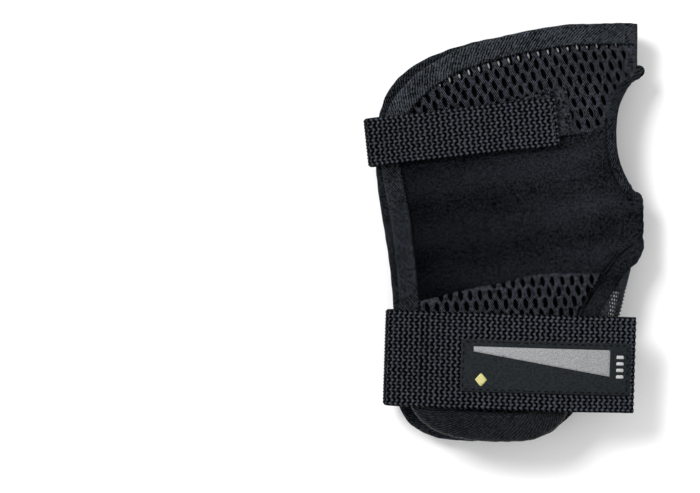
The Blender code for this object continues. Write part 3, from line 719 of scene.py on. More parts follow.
def thread_ring(place, along, radius, drop=0.0):
    """The points round a thread at this place, drop lower than it."""
    along = along / np.linalg.norm(along)
    side = np.cross(along, (0, 0, 1.0))
    side /= np.linalg.norm(side) + 1e-9
    up = np.cross(side, along)
    angles = [2 * math.pi * n / THREAD_SIDES for n in range(THREAD_SIDES)]
    return [place + side * radius * math.cos(a) + up * (radius * math.sin(a) - drop) for a in angles]


def thread_faces(count, start):
    return [tuple(start + i for i in face) for face in ring_faces(count, THREAD_SIDES)]


def threads(name, lines, radius, material, body, slot):
    """Short tapered threads, each along its own line of points."""
    points, faces = [], []
    for line in lines:
        line = np.asarray(line, float)
        count = len(line)
        faces += thread_faces(count, len(points))
        for k, place in enumerate(line):
            along = line[min(k + 1, count - 1)] - line[max(k - 1, 0)]
            taper = 0.25 + 0.75 * math.sin(math.pi * (k + 0.5) / count)
            points += thread_ring(place, along, radius * taper)
    piece(name, points, faces, material, slot, body)


def knuckle_row(x):
    """The mesh's top row, which follows the top binding and levels out towards the thumb."""
    return 75.8 - 0.0858 * (39.8 - x) - 0.00236 * (39.8 - x) ** 2


def knit_relief(x, y, inward):
    """Loose waves across the stretch panel, and finer drawn folds that run in to the base of the thumb."""
    across = x * math.cos(FOLD_TURN) - y * math.sin(FOLD_TURN)
    folds = -0.5 * np.cos(2 * math.pi * (across - FOLD_START) / FOLD_PITCH)
    wide = folds + 0.35 * ripples(x, y, 19, 4, 2.6, math.radians(-14))
    drawn = eased((x - 8) / 30) * eased((30 - abs(y - 2)) / 24)
    fine = 0.16 * ripples(x, y, 2.8, 9, 6.0, math.radians(28)) * drawn
    seam = -0.6 * (1 - eased((inward - 0.9) / 3.0))
    return 0.30 + seam + wide * eased(inward / 9) + fine * eased(inward / 2)


def build_back():
    knuckle = Rows(knuckle_row, 25.0, 4.62, -1.1, 0.27)
    web = box_of("web_fold")[1][0]
    first_row = air_mesh_panel("knuckle_mesh", "back_knuckle_mesh", knuckle, over_web, 3, web - 0.5)
    # Spacer yarns in the first row of holes only; their pale colour paints the glints there.
    glints = []
    for x, y in first_row:
        z = float(over_web(x)) + 0.75
        glints.append([(x - 0.55 - 0.27 * t, y + t, z - 0.15 * t * t) for t in np.linspace(0.9, -1.5, 6)])
    threads("painted_glint_yarns", glints, 0.42, PAINTED_GLINT_YARN, "guard", "air_mesh")
    lower = Rows(lambda x: -19.6 + 0.045 * (x - 14.7), 14.7, 4.3, -1.45, 0.12)
    air_mesh_panel("cuff_mesh", "back_cuff_mesh", lower, back, 5)
    loop = grown(evenly(plan("back_stretch_panel"), 1.0), 0.9)
    cloth_panel(
        "stretch_panel", "back_stretch_panel", loop, 1.0, back, PANEL, knit_relief, "stretch_knit",
        edge=1.3, rests_on=["back_lining_cloth"],
    )


# --- bindings -----------------------------------------------------------------------------------

BINDING_STEP = 0.8
# How far a tape's folded edge stands out past its CAD band.
TAPE_SWELL = 0.45
# A row of threads' place, as shares of the tape's width and height, and each one's length, gap and radius: first a
# row of dark threads just past the tape's inner edge, painted shade for the dark line there, then the tape's
# stitching.
SEAM_SHADE = (1.05, 0.72, (1.3, 0.35, 0.42))
STITCH = (0.84, 0.89, (2.1, 1.0, 0.14))


def band_section(half, lip):
    """Points round a binding's section: share of the width from the outer edge, and height."""
    top = [(t, half * (1.0 - 0.14 * t) + 0.12 * math.sin(math.pi * t)) for t in np.linspace(0.16, 0.97, 9)]
    inner = [(1.0, half * 0.86 - lip), (1.0, -half * 0.86 + lip)]
    bottom = [(t, -h) for t, h in top[::-1]]
    nose = [
        (0.16 - 0.16 * math.sin(a), -half * math.cos(a)) for a in np.linspace(0.35, math.pi - 0.35, 7)
    ]
    return np.array(top + inner + bottom + nose)


def binding(name, node, surface, seed, half=1.9, look="binding_tape", run_on=None, wider=0.0):
    """Tape folded over an edge, puckered a little by its stitches.

    run_on lengthens the rails at the thumb side, and wider moves the inner edge further in.
    """
    outer, inner = edge_rails(node)
    count = len(outer) * 2
    outer, inner = resampled(outer, count), resampled(inner, count)
    across = (inner - outer) / np.linalg.norm(inner - outer, axis=1)[:, None]
    outer, inner = outer - across * TAPE_SWELL, inner + across * wider
    if run_on:
        outer, inner = run_on(outer, inner)
    outer, inner = rounded(outer, 1), rounded(inner, 1)
    count = round(lengths(outer)[-1] / BINDING_STEP) + 1
    outer, inner = resampled(outer, count), resampled(inner, count)
    along = lengths(outer)
    section = band_section(half, 0.25)
    pucker = ripples(along, along * 0, 5.5, seed, 1, 0, 9)
    ring = len(section)
    points = np.empty((count, ring, 3))
    uv = np.empty((count, ring, 2))
    width = np.linalg.norm(outer - inner, axis=1).mean()
    for k, (share, height) in enumerate(section):
        flat = outer + (inner - outer) * share
        flat = flat + (inner - outer) / width * (0.10 * pucker * (1 - share))[:, None]
        swell = height + 0.10 * pucker * math.sin(math.pi * share) * (1 if height > 0 else -1)
        points[:, k, :2] = flat
        points[:, k, 2] = surface(flat[:, 0]) + swell
        uv[:, k, 0] = along
        uv[:, k, 1] = share * width if height > 0 else -share * width
    piece(name, points, ring_faces(count, ring), LOOKS[look], "binding_tape", "guard", [node], uv)
    sign = -1 if surface is palm else 1
    # The first row: dark threads just past the inner edge, painted shade for the line where tape and panel meet.
    rows = [("seam", DARK_THREAD_AND_SHADE_LINE, *SEAM_SHADE)]
    if look != "stretch_knit":
        rows.append(("stitch", THREAD, *STITCH))
    else:
        roll = outer + (inner - outer) * 0.9
        middle = np.column_stack([roll, surface(roll[:, 0]) + half * 0.8])
        threads(name + "_roll", [middle[1:-1]], 0.75, LOOKS["binding_tape"], "guard", "binding_tape")
    for tail, material, share, lift, measure in rows:
        seam = outer + (inner - outer) * share
        line = np.column_stack([seam, surface(seam[:, 0]) + sign * half * lift])
        stitches(f"{name}_{tail}", line[2:-2], "guard", "binding_tape", *measure, material)


# A stitch's rings: how far along it, and the radius and the drop as shares of the stitch's radius.
STITCH_RINGS = ((0, 0.35, 1.0), (0.22, 0.9, 0.2), (0.5, 1.0, 0.0), (0.78, 0.9, 0.2), (1, 0.35, 1.0))


def stitches(name, line, body, slot, length, gap, radius, material=THREAD):
    """A row of short thread loops along the line."""
    at = lengths(line)
    total = at[-1]
    count = int(total // (length + gap))
    points, faces = [], []
    for n in range(count):
        start = (n + 0.5) * total / count - length / 2
        wanted = start + length * np.array([share for share, _, _ in STITCH_RINGS])
        middle = np.stack([np.interp(wanted, at, column) for column in line.T], axis=1)
        faces += thread_faces(len(middle), len(points))
        for place, (_, wide, drop) in zip(middle, STITCH_RINGS):
            points += thread_ring(place, middle[-1] - middle[0], radius * wide, radius * drop)
    piece(name, points, faces, material, slot, body)


def run_to(rail, tip, at_start):
    return np.concatenate([[tip], rail] if at_start else [rail, [tip]])


def to_web_edge(outer, inner):
    """The top binding's rails, run on over the web fold."""
    edge = box_of("web_binding")[1][0] + 0.3
    made = []
    for rail in (outer, inner):
        at_start = rail[0, 0] > rail[-1, 0]
        made.append(run_to(rail, (edge, rail[0 if at_start else -1, 1]), at_start))
    return made


def to_thenar_edge(outer, inner):
    """The thumb-side tape's rails, run on up to the edge of the thumb's base."""
    edge = box_of("thenar_fold")[1][0]
    tips = ((outer, (edge - 1.0, -8.6)), (inner, (edge, -1.6)))
    return [run_to(rail, tip, rail[0, 1] > rail[-1, 1]) for rail, tip in tips]


def build_bindings():
    seed = 10
    for half, surface in (("back", back), ("palm", palm)):
        for part in ("top", "side", "cuff"):
            seed += 1
            node = f"{half}_{part}_binding"
            if node == "back_cuff_binding":
                binding("back_cuff_tape", node, surface, seed, half=2.5, look="cuff_tape", wider=4.4)
            elif node == "back_top_binding":
                binding("back_top_tape", node, over_web, seed, look="top_tape", run_on=to_web_edge)
            else:
                binding(f"{half}_{part}_tape", node, surface, seed)
    binding(
        "back_thumb_tape", "back_thumb_binding", over_thenar, seed + 1, half=1.7, look="stretch_knit",
        run_on=to_thenar_edge,
    )


# --- folds and the thumb hole -------------------------------------------------------------------

# A fold's depth, from its outermost line to where it leaves the flat cloth, and its length round the bend.
FOLD_DEPTH, FOLD_GIRTH = 4.0, math.pi * 6
FOLD_STEPS = 14
# The thumb hole's tape: half its width and height, and the points round it.
RING_WIDE, RING_HIGH, RING_SIDES = 2.15, 1.75, 14


def fold_skin(name, path, node, look, wall, seed, tuck):
    """Cloth that runs off the back, round the thumb side and on to the palm. path is its outermost line.

    It is wall thick, and its two edges reach tuck further in than the fold.
    """
    path = spaced(rounded(path, 2), 0.9)
    inward = left_of(path)
    half = wall / 2
    points, uv = [], []
    along = lengths(path)
    for (x, y), normal, s in zip(path, inward, along):
        start = np.array((x, y)) + normal * (FOLD_DEPTH + half)
        top, bottom = back(start[0]), palm(start[0])
        rise, middle = (top - bottom) / 2, (top + bottom) / 2
        crease = 0.10 * math.sin(s * 1.9 + seed) + 0.08 * math.sin(s * 0.8)
        for side in (1, -1):
            angles = np.linspace(90, -90, FOLD_STEPS)[::side]
            rim = []
            for angle in np.radians(angles):
                out = (FOLD_DEPTH + side * half + crease * math.cos(angle)) * math.cos(angle)
                rim.append((out, middle + (rise + side * half) * math.sin(angle)))
            inner_place = start + normal * tuck
            flat_top, flat_bottom = back(inner_place[0]), palm(inner_place[0])
            if side > 0:
                rim = [(-tuck, flat_top + half)] + rim + [(-tuck, flat_bottom - half)]
            else:
                rim = [(-tuck, flat_bottom + half)] + rim + [(-tuck, flat_top - half)]
            points += [(*(start - normal * out), z) for out, z in rim]
            uv += [(s, out + z) for out, z in rim]
    faces = ring_faces(len(path), 2 * (FOLD_STEPS + 2))
    piece(name, points, faces, LOOKS[look], look, "guard", [node], uv)


def ring_path():
    """The thumb hole's binding: the middle of its CAD tube, going round by angle in the YZ plane."""
    points = points_of("thumb_hole_binding")
    centre, reach = (points.max(axis=0) + points.min(axis=0)) / 2, np.ptp(points, axis=0) / 2
    angle = np.arctan2((points[:, 2] - centre[2]) / reach[2], (points[:, 1] - centre[1]) / reach[1])
    made = []
    for wanted in np.linspace(-math.pi, math.pi, 120, endpoint=False):
        apart = (angle - wanted + math.pi) % (2 * math.pi) - math.pi
        weight = np.exp(-((apart / 0.10) ** 2))
        made.append((points * weight[:, None]).sum(axis=0) / weight.sum())
    return np.array(made)


def build_thumb_hole():
    path = evenly(ring_path(), BINDING_STEP)
    count = len(path)
    along = np.roll(path, -1, axis=0) - np.roll(path, 1, axis=0)
    along /= np.linalg.norm(along, axis=1)[:, None]
    centre = path.mean(axis=0)
    points, uv = [], []
    for k in range(count):
        # Flat and wide in the plane of the cloth, with a ridge where the tape's edge is stitched down.
        out = np.array((1.0, 0.0, 0.0)) - along[k] * along[k][0]
        out /= np.linalg.norm(out)
        up = np.cross(along[k], out)
        pucker = 0.07 * math.sin(k * 1.1) + 0.05 * math.sin(k * 0.43)
        swell = 1 + 0.75 * abs(along[k][2]) ** 3
        for s in range(RING_SIDES):
            angle = 2 * math.pi * s / RING_SIDES
            wide = RING_WIDE * swell ** 0.6 * math.cos(angle)
            high = (RING_HIGH + pucker) * swell * math.sin(angle)
            if math.cos(angle) < -0.35:
                high *= 1.12
            points.append(path[k] + out * (wide + 0.8 * (swell - 1)) + up * high)
            uv.append((k * BINDING_STEP, angle * 2))
    faces = []
    for k in range(count):
        for s in range(RING_SIDES):
            here, following, turned = k * RING_SIDES, (k + 1) % count * RING_SIDES, (s + 1) % RING_SIDES
            faces.append((here + s, here + turned, following + turned, following + s))
    piece(
        "thumb_hole_tape", points, faces, LOOKS["binding_tape"], "binding_tape", "guard",
        ["thumb_hole_binding"], uv,
    )
    # Both halves' cloth is stitched in along the side of the tape that faces away from the hole, and these dark
    # stitches also paint the shade line where the cloth meets the tape.
    level = np.sign(path[:, 2] - centre[2])
    for name, side in (("back", 1), ("palm", -1)):
        half_ring = path[(level == side) & (np.abs(along[:, 2]) < 0.75)]
        start = int(np.argmax(np.linalg.norm(np.diff(half_ring, axis=0), axis=1)))
        if np.linalg.norm(half_ring[start + 1] - half_ring[start]) > 5:
            half_ring = np.roll(half_ring, -start - 1, axis=0)
        seam = half_ring + np.array((-RING_WIDE, 0, 0.75 * side))
        stitches(f"thumb_hole_seam_{name}", seam, "guard", "binding_tape", 1.3, 0.35, 0.40, DARK_THREAD_AND_SHADE_LINE)


def build_folds():
    tape_low, tape_high = box_of("web_binding")
    x = box_of("web_fold")[1][0]
    fold_skin(
        "web_tape", [(x - 0.3, tape_low[1] - 0.2), (x - 0.3, tape_high[1])], "web_binding", "binding_tape",
        wall=3.0, seed=2, tuck=2.4,
    )
    thenar_low, thenar_high = box_of("thenar_fold")
    x = thenar_high[0]
    fold_skin(
        "thenar_skin",
        [(x - 4.2, thenar_low[1] - 4.4), (x - 1.6, thenar_low[1] - 2.2), (x + 0.3, thenar_low[1] + 1.6),
         (x + 0.9, thenar_low[1] + 5), (x + 0.3, thenar_low[1] + 7.6), (x + 0.6, thenar_low[1] + 10),
         (x + 0.6, thenar_high[1] - 4), (x + 0.4, thenar_high[1] + 2.6)],
        "thenar_fold", "stretch_knit", wall=2.8, seed=3, tuck=3.0,
    )


def gusset_edge():
    """The gusset fold's outermost line, from its lowest point upwards."""
    points = points_of("gusset_fold_mesh")
    levels = np.linspace(points[:, 1].min(), points[:, 1].max(), 13)
    made = []
    for low, high in zip(levels[:-1], levels[1:]):
        some = points[(points[:, 1] >= low - 0.5) & (points[:, 1] <= high + 0.5)]
        made.append(some[np.argmax(some[:, 0]), :2])
    made = np.array(made)
    return made[np.argsort(made[:, 1])]


def wrapped(path, spacing, tuck, raised=0.0):
    """A grid of points that goes round a fold: one row at each point of its outermost line.

    Each row runs on over the flat cloth by tuck points at both ends.
    """
    angles = np.linspace(math.pi / 2, -math.pi / 2, round(FOLD_GIRTH / spacing) // 2 * 2 + 1)
    grid = []
    for place_on_edge, normal in zip(path, left_of(path)):
        start = place_on_edge + normal * FOLD_DEPTH
        rise, middle = (back(start[0]) - palm(start[0])) / 2, (back(start[0]) + palm(start[0])) / 2
        row = []
        for k in range(tuck, 0, -1):
            place = start + normal * k * spacing
            row.append((*place, back(place[0]) + raised))
        for angle in angles:
            place = start - normal * FOLD_DEPTH * math.cos(angle)
            row.append((*place, middle + (rise + raised) * math.sin(angle)))
        for k in range(1, tuck + 1):
            place = start + normal * k * spacing
            row.append((*place, palm(place[0]) - raised))
        grid.append(row)
    return np.array(grid)


def netting(name, node, grid, opening, thickness):
    """An open net over a grid: round holes in a brick pattern, with cords between them."""
    rows, columns = grid.shape[:2]
    points, faces = list(grid.reshape(-1, 3)), []
    around = ((-1, -1), (-1, 0), (-1, 1), (0, 1), (1, 1), (1, 0), (1, -1), (0, -1))
    for i in range(1, rows - 1, 2):
        for k in range(1 + i // 2 % 2, columns - 1, 2):
            centre = grid[i, k]
            first = len(points)
            corners = [(i + di) * columns + k + dk for di, dk in around]
            for n, (di, dk) in enumerate(around):
                share = opening * (0.8 if di and dk else 1.0)
                points.append(centre + (grid[i + di, k + dk] - centre) * share)
                after = (n + 1) % 8
                faces.append((corners[n], corners[after], first + after, first + n))
    used = sorted({index for face in faces for index in face})
    place_of = {index: number for number, index in enumerate(used)}
    points = [points[index] for index in used]
    faces = [tuple(place_of[index] for index in face)[::-1] for face in faces]
    made = piece(name, points, faces, LOOKS["air_mesh"], "air_mesh", "guard", [node])
    solid = made.modifiers.new("Thickness", "SOLIDIFY")
    solid.thickness = thickness * MM
    solid.offset = 0


def build_nets():
    """The gusset's fold, whose outermost cords stand out as small teeth, and the mesh round the web."""
    path = gusset_edge()
    lead = (path[-1] - path[-2]) / np.linalg.norm(path[-1] - path[-2])
    path = np.concatenate([path, [path[-1] + lead * 6.0, path[-1] + lead * 12.0]])
    grid = wrapped(spaced(rounded(path, 2), 0.76), spacing=0.72, tuck=9, raised=0.5)
    inward = left_of(grid[:, grid.shape[1] // 2, :2])
    tooth = np.where(np.arange(len(grid)) % 2 == 0, -0.5, 0.45)
    middle = np.exp(-((np.arange(grid.shape[1]) - grid.shape[1] // 2) / 1.6) ** 2)
    grid[:, :, :2] += inward[:, None, :] * tooth[:, None, None] * middle[None, :, None]
    netting("gusset_net", "gusset_fold_mesh", grid, opening=0.66, thickness=0.5)
    web_low, web_high = box_of("web_fold")
    edge = np.array([(web_high[0], web_low[1] - 3.4), (web_high[0], web_high[1] + 2.0)])
    grid = wrapped(spaced(edge, 2.2), spacing=1.9, tuck=1)
    netting("web_net", "web_fold", grid, opening=0.6, thickness=0.9)


# --- straps -------------------------------------------------------------------------------------


class StrapFrame:
    """A strap's own plane: u runs along it in plan from its hinge, w across it, and z up."""

    def __init__(self, joint):
        found = next(j for j in frame["joints"] if j["name"] == joint)
        self.pivot = np.array(found["pos_m"]) / MM
        axis = np.array(found["axis"], float)
        axis /= np.linalg.norm(axis)
        self.axis = Vector(axis)
        self.along = np.array((-axis[1], axis[0], 0.0))
        self.across = -axis

    def place(self, u, w, z):
        """Points in the part's own frame."""
        flat = self.pivot * (1, 1, 0)
        u, w, z = np.broadcast_arrays(u, w, z)
        return flat + u[..., None] * self.along + w[..., None] * self.across + z[..., None] * (0, 0, 1)

    def width(self, node):
        w = (points_of(node) - self.pivot) @ self.across
        return w.min(), w.max()

    def line(self, node):
        """The middle line of a CAD strap in u and z, from the end furthest from its hinge."""
        loop = outline(node, self.axis) - self.pivot * (1, 1, 0)
        flat = np.column_stack([loop @ self.along, loop[:, 2]])
        a, b = rails(flat)
        middle = (resampled(a, 200) + resampled(b, 200)) / 2
        hinge = np.array((0.0, self.pivot[2]))
        if np.linalg.norm(middle[0] - hinge) < np.linalg.norm(middle[-1] - hinge):
            middle = middle[::-1]
        return middle


# The webbing's thickness without its floats, and the distance between its points.
WEBBING, WEBBING_STEP = 1.4, 0.42
# How far a strap's middle stays above the table, so that its floats rest on it.
WEAVE_ROOM = 1.16
# The distance between the points of a tape that lies along a strap.
LAYER_STEP = 0.8


def weave(u, w):
    """Columns of small floats that zigzag across the strap, with gaps between the columns."""
    swung = u + WEAVE_ZIGZAG * np.sin(math.pi * w / WEAVE_FLOAT)
    column = np.cos(2 * math.pi * swung / WEAVE_COLUMN)
    floats = np.cos(2 * math.pi * w / WEAVE_FLOAT) * (0.5 + 0.5 * column)
    return 0.28 * np.sign(column) * np.abs(column) ** 0.8 - 0.14 * floats


def webbing(name, strap, nodes, seed):
    """The whole strap, from its sewn end round the fold to its free end, in one woven length.

    Returns its middle line in u and z, the line's normals, and the distance along it.
    """
    base, flap = strap.line(nodes[0]), strap.line(nodes[1])[::-1]
    path = np.concatenate([base[:-3], flap[3:]])
    kernel = np.ones(9) / 9
    smoothed = np.column_stack([
        np.convolve(np.pad(column, 4, mode="edge"), kernel, "valid") for column in path.T
    ])
    path = spaced(smoothed, WEBBING_STEP)
    path[:, 1] = np.maximum(path[:, 1], WEAVE_ROOM)
    count = len(path)
    normal = left_of(path)
    along = lengths(path)
    low, high = strap.width(nodes[1])
    outer_w = np.linspace(low, high, round((high - low) / WEBBING_STEP) + 1)
    inner_w = np.linspace(high, low, 15)[1:-1]
    end_fold = eased((along - (along[-1] - 4.2)) / 0.8) * 0.35
    rows, uv = [], []
    for w, face in [(w, 1) for w in outer_w] + [(w, -1) for w in inner_w]:
        from_edge = min(w - low, high - w)
        full = math.sqrt(max(0.0, 1 - (1 - min(from_edge / 0.7, 1.0)) ** 2))
        relief = weave(along, np.full(count, w)) * min(1.0, from_edge / 0.9) if face > 0 else 0.0
        raised = face * (WEBBING / 2 * (0.35 + 0.65 * full)) + relief + end_fold * (face > 0)
        wander = 0.12 * ripples(along, along * 0 + w, 26, seed)
        place = path + normal * np.asarray(raised)[..., None]
        rows.append(strap.place(place[:, 0], w + wander, place[:, 1]))
        uv.append(np.column_stack([along, np.full(count, w if face > 0 else w + 100)]))
    points, uv = np.stack(rows, axis=1), np.stack(uv, axis=1)
    made = piece(name, points, ring_faces(count, len(rows)), LOOKS["webbing"], "webbing", None, nodes, uv)
    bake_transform(made)
    return path, normal, along


def upward_normals(line):
    normal = left_of(line)
    return -normal if normal[:, 1].mean() < 0 else normal


def strap_layer(name, strap, node, slot, body, relief, half=0.4):
    """A flat tape that lies along a strap, where its CAD node is."""
    line = spaced(strap.line(node)[::-1], LAYER_STEP)
    normal, along = upward_normals(line), lengths(line)
    low, high = strap.width(node)
    ws = np.linspace(low, high, round((high - low) / LAYER_STEP) + 1)
    top, bottom, uv = [], [], []
    for w in ws:
        place = line + normal * (half + relief(along, w))[:, None]
        under = line - normal * half
        top.append(strap.place(place[:, 0], w, place[:, 1]))
        bottom.append(strap.place(under[:, 0], w, under[:, 1]))
        uv.append(np.column_stack([along, np.full(len(along), w)]))
    points, uv = np.stack(top + bottom[::-1], axis=1), np.stack(uv + uv[::-1], axis=1)
    faces = ring_faces(len(line), 2 * len(ws))
    return piece(name, points, faces, LOOKS[slot], slot, body, [node], uv)


class LabelSurface:
    """Places things on the label by their distance along and across it, from its middle."""

    def __init__(self, strap, node):
        self.strap = strap
        line = strap.line(node)[::-1]
        if line[0][0] > line[-1][0]:
            line = line[::-1]
        self.line = line
        self.at = lengths(line)
        self.low, self.high = strap.width(node)
        self.half_length = self.at[-1] / 2
        self.half_width = (self.high - self.low) / 2

    def place(self, u, w, lift):
        s = np.asarray(u, float) + self.half_length
        line_u = np.interp(s, self.at, self.line[:, 0])
        line_z = np.interp(s, self.at, self.line[:, 1])
        return self.strap.place(line_u, np.asarray(w, float) + (self.low + self.high) / 2, line_z + lift)


# A patch's top and bottom, from the label's middle.
PATCH_LIFT = (0.52, 0.32)


def label_patch(name, surface, loop, look, spacing=1.0):
    """A thin woven shape on the label."""
    places, faces = triangulated(evenly(loop, spacing), spacing)
    points = np.concatenate([surface.place(*places.T, lift) for lift in PATCH_LIFT])
    piece(
        name, points, shell_faces(faces, len(places)), look, "woven_label", "wrist_strap", (),
        np.concatenate([places, places]),
    )


def build_label(strap):
    cloth = strap_layer(
        "label_cloth", strap, "size_label", "woven_label", "wrist_strap",
        lambda along, w: 0.05 * ripples(along, along * 0 + w, 14, 8), half=0.35,
    )
    face = LabelSurface(strap, "size_label")
    # A plain silver wedge, wider towards the thumb.
    left, right, top = -29.4, 25.8, 7.6
    narrow, wide = 2.0, 10.6
    wedge = np.array([(right, top - wide), (left, top - narrow), (left, top), (right, top)])
    label_patch("label_wedge", face, wedge, SILVER)
    for k in range(4):
        y = -3.6 + k * 2.6
        bar = np.array([(28.6, y), (31.8, y), (31.8, y + 1.3), (28.6, y + 1.3)])
        label_patch(f"label_bar_{k}", face, bar, PALE, spacing=0.8)
    diamond = np.array([(-28.6, -5.6), (-26.2, -8.4), (-23.8, -5.6), (-26.2, -2.8)])
    label_patch("label_mark", face, diamond, YELLOW, spacing=0.8)
    u, w = face.half_length - 1.0, face.half_width - 0.9
    for name, (a, b) in {
        "low": ((-u, -w), (u, -w)), "high": ((-u, w), (u, w)),
        "left": ((-u, -w), (-u, w)), "right": ((u, -w), (u, w)),
    }.items():
        ends = resampled(np.array([a, b]), 60)
        line = face.place(ends[:, 0], ends[:, 1], 0.50)
        stitches(f"label_stitch_{name}", line, "wrist_strap", "woven_label", 1.7, 1.1, 0.2, DARK_THREAD_AND_SHADE_LINE)


def cross_stitch(name, strap, cloth, at, body, material=THREAD):
    """A row of stitches straight across a strap, at this distance along its webbing."""
    path, normal, along = cloth
    low, high = strap.width(body + "_flap")
    u, z = (np.interp(at, along, column) for column in (path + normal * 1.02).T)
    line = strap.place(u, np.linspace(low + 1.0, high - 1.0, 40), z)
    stitches(name, line, body, "webbing", 1.7, 0.5, 0.3, material)


HOOK_PITCH = 1.8
# A hook's bends: how far each is along the tape and below its face.
HOOK_SHAPE = ((-0.2, 0.0), (-0.05, 0.35), (0.2, 0.6), (0.55, 0.62), (0.72, 0.42))
HOOK = plain_look("hook", (0.030, 0.030, 0.032), 0.4, 0.0006, 0.00005, 0.4)


def hook_rows(name, strap, node, body):
    """Rows of small bent hooks on a hook tape's lower face."""
    line = spaced(strap.line(node)[::-1], HOOK_PITCH)
    normal = upward_normals(line)
    low, high = strap.width(node)
    hooks = []
    for k in range(1, len(line) - 1):
        along = line[k + 1] - line[k]
        along /= np.linalg.norm(along)
        for n, w in enumerate(np.arange(low + 1.0, high - 0.9, HOOK_PITCH * 0.8)):
            lean = 1 if n % 2 else -1
            bent = [line[k] + along * lean * u - normal[k] * (0.35 + z) for u, z in HOOK_SHAPE]
            hooks.append([strap.place(np.array(p[0]), np.array(w), np.array(p[1])) for p in bent])
    threads(name, hooks, 0.20, HOOK, body, "hook_tape")


def hook_relief(along, w):
    return 0.10 * np.cos(along * 3.1) * math.cos(w * 3.1)


def build_strap(name, seed, end, crossings=()):
    """A strap and its hook tape.

    Stitches cross it end short of its free end, and at each of crossings, counted from its hinge.
    """
    strap = StrapFrame(name + "_peel")
    cloth = webbing(name, strap, [name + "_base", name + "_flap"], seed)
    path, _, along = cloth
    hinge_at = along[np.argmin(np.abs(path[:, 0]) + np.abs(path[:, 1] - strap.pivot[2]))]
    for number, further in enumerate(crossings):
        cross_stitch(f"{name}_stitch_{number}", strap, cloth, hinge_at + further, name, DARK_THREAD_AND_SHADE_LINE)
    cross_stitch(name + "_end_stitch", strap, cloth, along[-1] - end, name)
    short = name.removesuffix("_strap")
    strap_layer(short + "_hook", strap, name + "_hook", "hook_tape", name, hook_relief)
    hook_rows(short + "_hook_rows", strap, name + "_hook", name)
    return strap


def build_straps():
    build_strap("hand_strap", seed=41, end=1.3)
    build_label(build_strap("wrist_strap", seed=43, end=1.5, crossings=(21.0, 23.4)))


def build_loop_patches():
    for name in ("hand_loop", "wrist_loop"):
        node = name + "_patch"
        cloth_panel(
            name, node, plan(node), 0.8, lambda x: back(x) + 2.2, 0.8, rippled(0.06, 1.7, 7), "loop_tape",
            edge=0.6, held="laid", rests_on=["stretch_panel"],
        )


# --- the palm side ------------------------------------------------------------------------------

# The length, gap and radius of the sleeve's stitches.
SLEEVE_STITCH = (1.9, 0.9, 0.16)


def channel(name, node, slot, seed):
    """A sewn cloth channel along Y, with its CAD node's section, softened at the corners."""
    low, high = box_of(node)
    section = evenly(outline(node, Vector((0, -1, 0)))[:, [0, 2]], 0.5)
    for _ in range(3):
        section = (np.roll(section, 1, axis=0) + 2 * section + np.roll(section, -1, axis=0)) / 4
    rows = np.linspace(low[1], high[1], round((high[1] - low[1]) / 1.2) + 1)
    points, uv = [], []
    for y in rows:
        x = section[:, 0]
        lift = 0.12 * ripples(x, x * 0 + y, 11, seed)
        points.append(np.column_stack([x, x * 0 + y, section[:, 1] + lift]))
        uv.append(np.column_stack([x, x * 0 + y]))
    made = piece(
        name, np.concatenate(points), ring_faces(len(rows), len(section)), LOOKS[slot], slot, "guard", [node],
        np.concatenate(uv),
    )
    girth = lengths(np.concatenate([section, section[:1]]))[-1] / 2


def build_palm():
    panels = {
        "palm_cloth": ("palm_panel", 1.6, 0.9, palm, 2.6, rippled(0.25, 16, 71, 8), "palm_fabric", 1.6, -1),
        "palm_gusset": ("palm_gusset_mesh", 1.2, 0.8, palm, 1.6, rippled(0.1, 5, 72), "air_mesh", 1.0, -1),
        "back_gusset": ("back_gusset_mesh", 1.0, 0.8, back, 1.4, rippled(0.1, 5, 73), "air_mesh", 1.0, 1),
    }
    for name, (node, step, past, *how) in panels.items():
        held = None if name == "back_gusset" else "stretched"
        cloth_panel(name, node, grown(evenly(plan(node), step), past), step, *how, held=held)
    pad = cloth_panel(
        "palm_pad_cover", "palm_pad", plan("palm_pad"), 1.5, lambda x: palm(x) + 2.9, 2.2,
        lambda x, y, inward: 0.5 * eased(inward / 9) + 0.1 * ripples(x, y, 12, 74), "foam", edge=2.0,
        held=None,
    )
    cloth_panel(
        "back_lining_cloth", "back_lining", plan("back_lining"), 1.9, middle_height("back_lining"), 0.9,
        rippled(0.12, 17, 75, 6), "lining_fabric", edge=1.2, facing=-1,
        rests_on=["back_top_tape", "back_side_tape"],
    )
    channel("splint_sleeve_cloth", "splint_sleeve", "palm_fabric", 76)
    channel("back_pocket_cloth", "back_splint_pocket", "lining_fabric", 77)
    low, high = box_of("splint_sleeve")
    for side, x in (("left", low[0] + 2.0), ("right", high[0] - 2.0)):
        seam = np.array([(x, y, high[2] - 1.0) for y in np.arange(low[1] + 1.5, high[1] - 1, 1.0)])
        stitches(f"sleeve_seam_{side}", seam, "guard", "palm_fabric", *SLEEVE_STITCH)
    for number, y in enumerate((high[1] - 1.6, high[1] - 3.4, low[1] + 1.6)):
        reach = np.arange(low[0] + 8.0, high[0] - 7.9, 1.0)
        seam = np.array([(x, y, low[2] - 0.02) for x in reach])
        stitches(f"sleeve_hem_{number}", seam, "guard", "palm_fabric", *SLEEVE_STITCH)


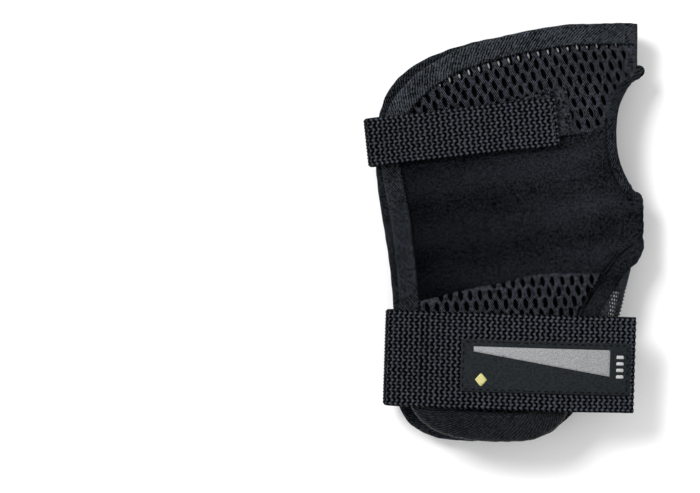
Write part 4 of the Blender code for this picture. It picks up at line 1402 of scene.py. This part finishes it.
def finish_cad_nodes():
    """Materials and softened edges for the CAD pieces that stay."""
    slots = {row["node"]: row["material_slot"] for row in frame["record"]["subparts"]}
    for name, obj in frame["nodes"].items():
        if obj.hide_render:
            continue
        obj.data.materials.clear()
        obj.data.materials.append(LOOKS[slots[name]])
        weld = obj.modifiers.new("Weld", "WELD")
        weld.merge_threshold = 2e-6
        bevel = obj.modifiers.new("Bevel", "BEVEL")
        bevel.width = 0.35 * MM
        bevel.segments = 2
        bevel.limit_method = "ANGLE"
        bevel.angle_limit = math.radians(40)


# --- stage --------------------------------------------------------------------------------------

# The width the picture spans on the part, in metres, and how far its centre lies from the part's.
PICTURE_WIDTH = 0.280
PICTURE_SHIFT = (0.0619, 0.0055)
WORLD_LIGHT = 0.88
KEY_WATTS = 42.0


def add_light(name, place, size, watts):
    data = bpy.data.lights.new(name, "AREA")
    data.energy, data.size = watts, size
    obj = bpy.data.objects.new(name, data)
    obj.location = place
    obj.rotation_euler = (Vector((0, 0, 0)) - Vector(place)).to_track_quat("-Z", "Y").to_euler()
    bpy.context.scene.collection.objects.link(obj)


def build_stage():
    floor = bpy.data.meshes.new("floor")
    floor.from_pydata([(-6, -6, 0), (6, -6, 0), (6, 6, 0), (-6, 6, 0)], [], [(0, 1, 2, 3)])
    floor.materials.append(paper_look())
    obj = bpy.data.objects.new("floor", floor)
    obj.location.z = -0.0002
    bpy.context.scene.collection.objects.link(obj)

    world = bpy.data.worlds.new("studio")
    world.use_nodes = True
    world.node_tree.nodes["Background"].inputs["Color"].default_value = (1, 1, 1, 1)
    world.node_tree.nodes["Background"].inputs["Strength"].default_value = WORLD_LIGHT
    bpy.context.scene.world = world
    add_light("key", (-1.1, 0.95, 1.9), size=0.75, watts=KEY_WATTS)
    bpy.context.scene.view_settings.view_transform = "Standard"

    camera = bpy.data.cameras.new("camera")
    camera.lens = 200
    camera.sensor_width = 36
    obj = bpy.data.objects.new("camera", camera)
    low, high = (np.array(corner) for corner in cad_box)
    height = PICTURE_WIDTH * camera.lens / camera.sensor_width
    middle = (low + high) / 2
    obj.location = (middle[0] - PICTURE_SHIFT[0], middle[1] - PICTURE_SHIFT[1], high[2] * 0.8 + height)
    camera.clip_end = 20
    bpy.context.scene.collection.objects.link(obj)
    bpy.context.scene.camera = obj


build_stage()
build_back()
build_bindings()
build_thumb_hole()
build_folds()
build_nets()
build_loop_patches()
build_straps()
build_palm()
finish_cad_nodes()
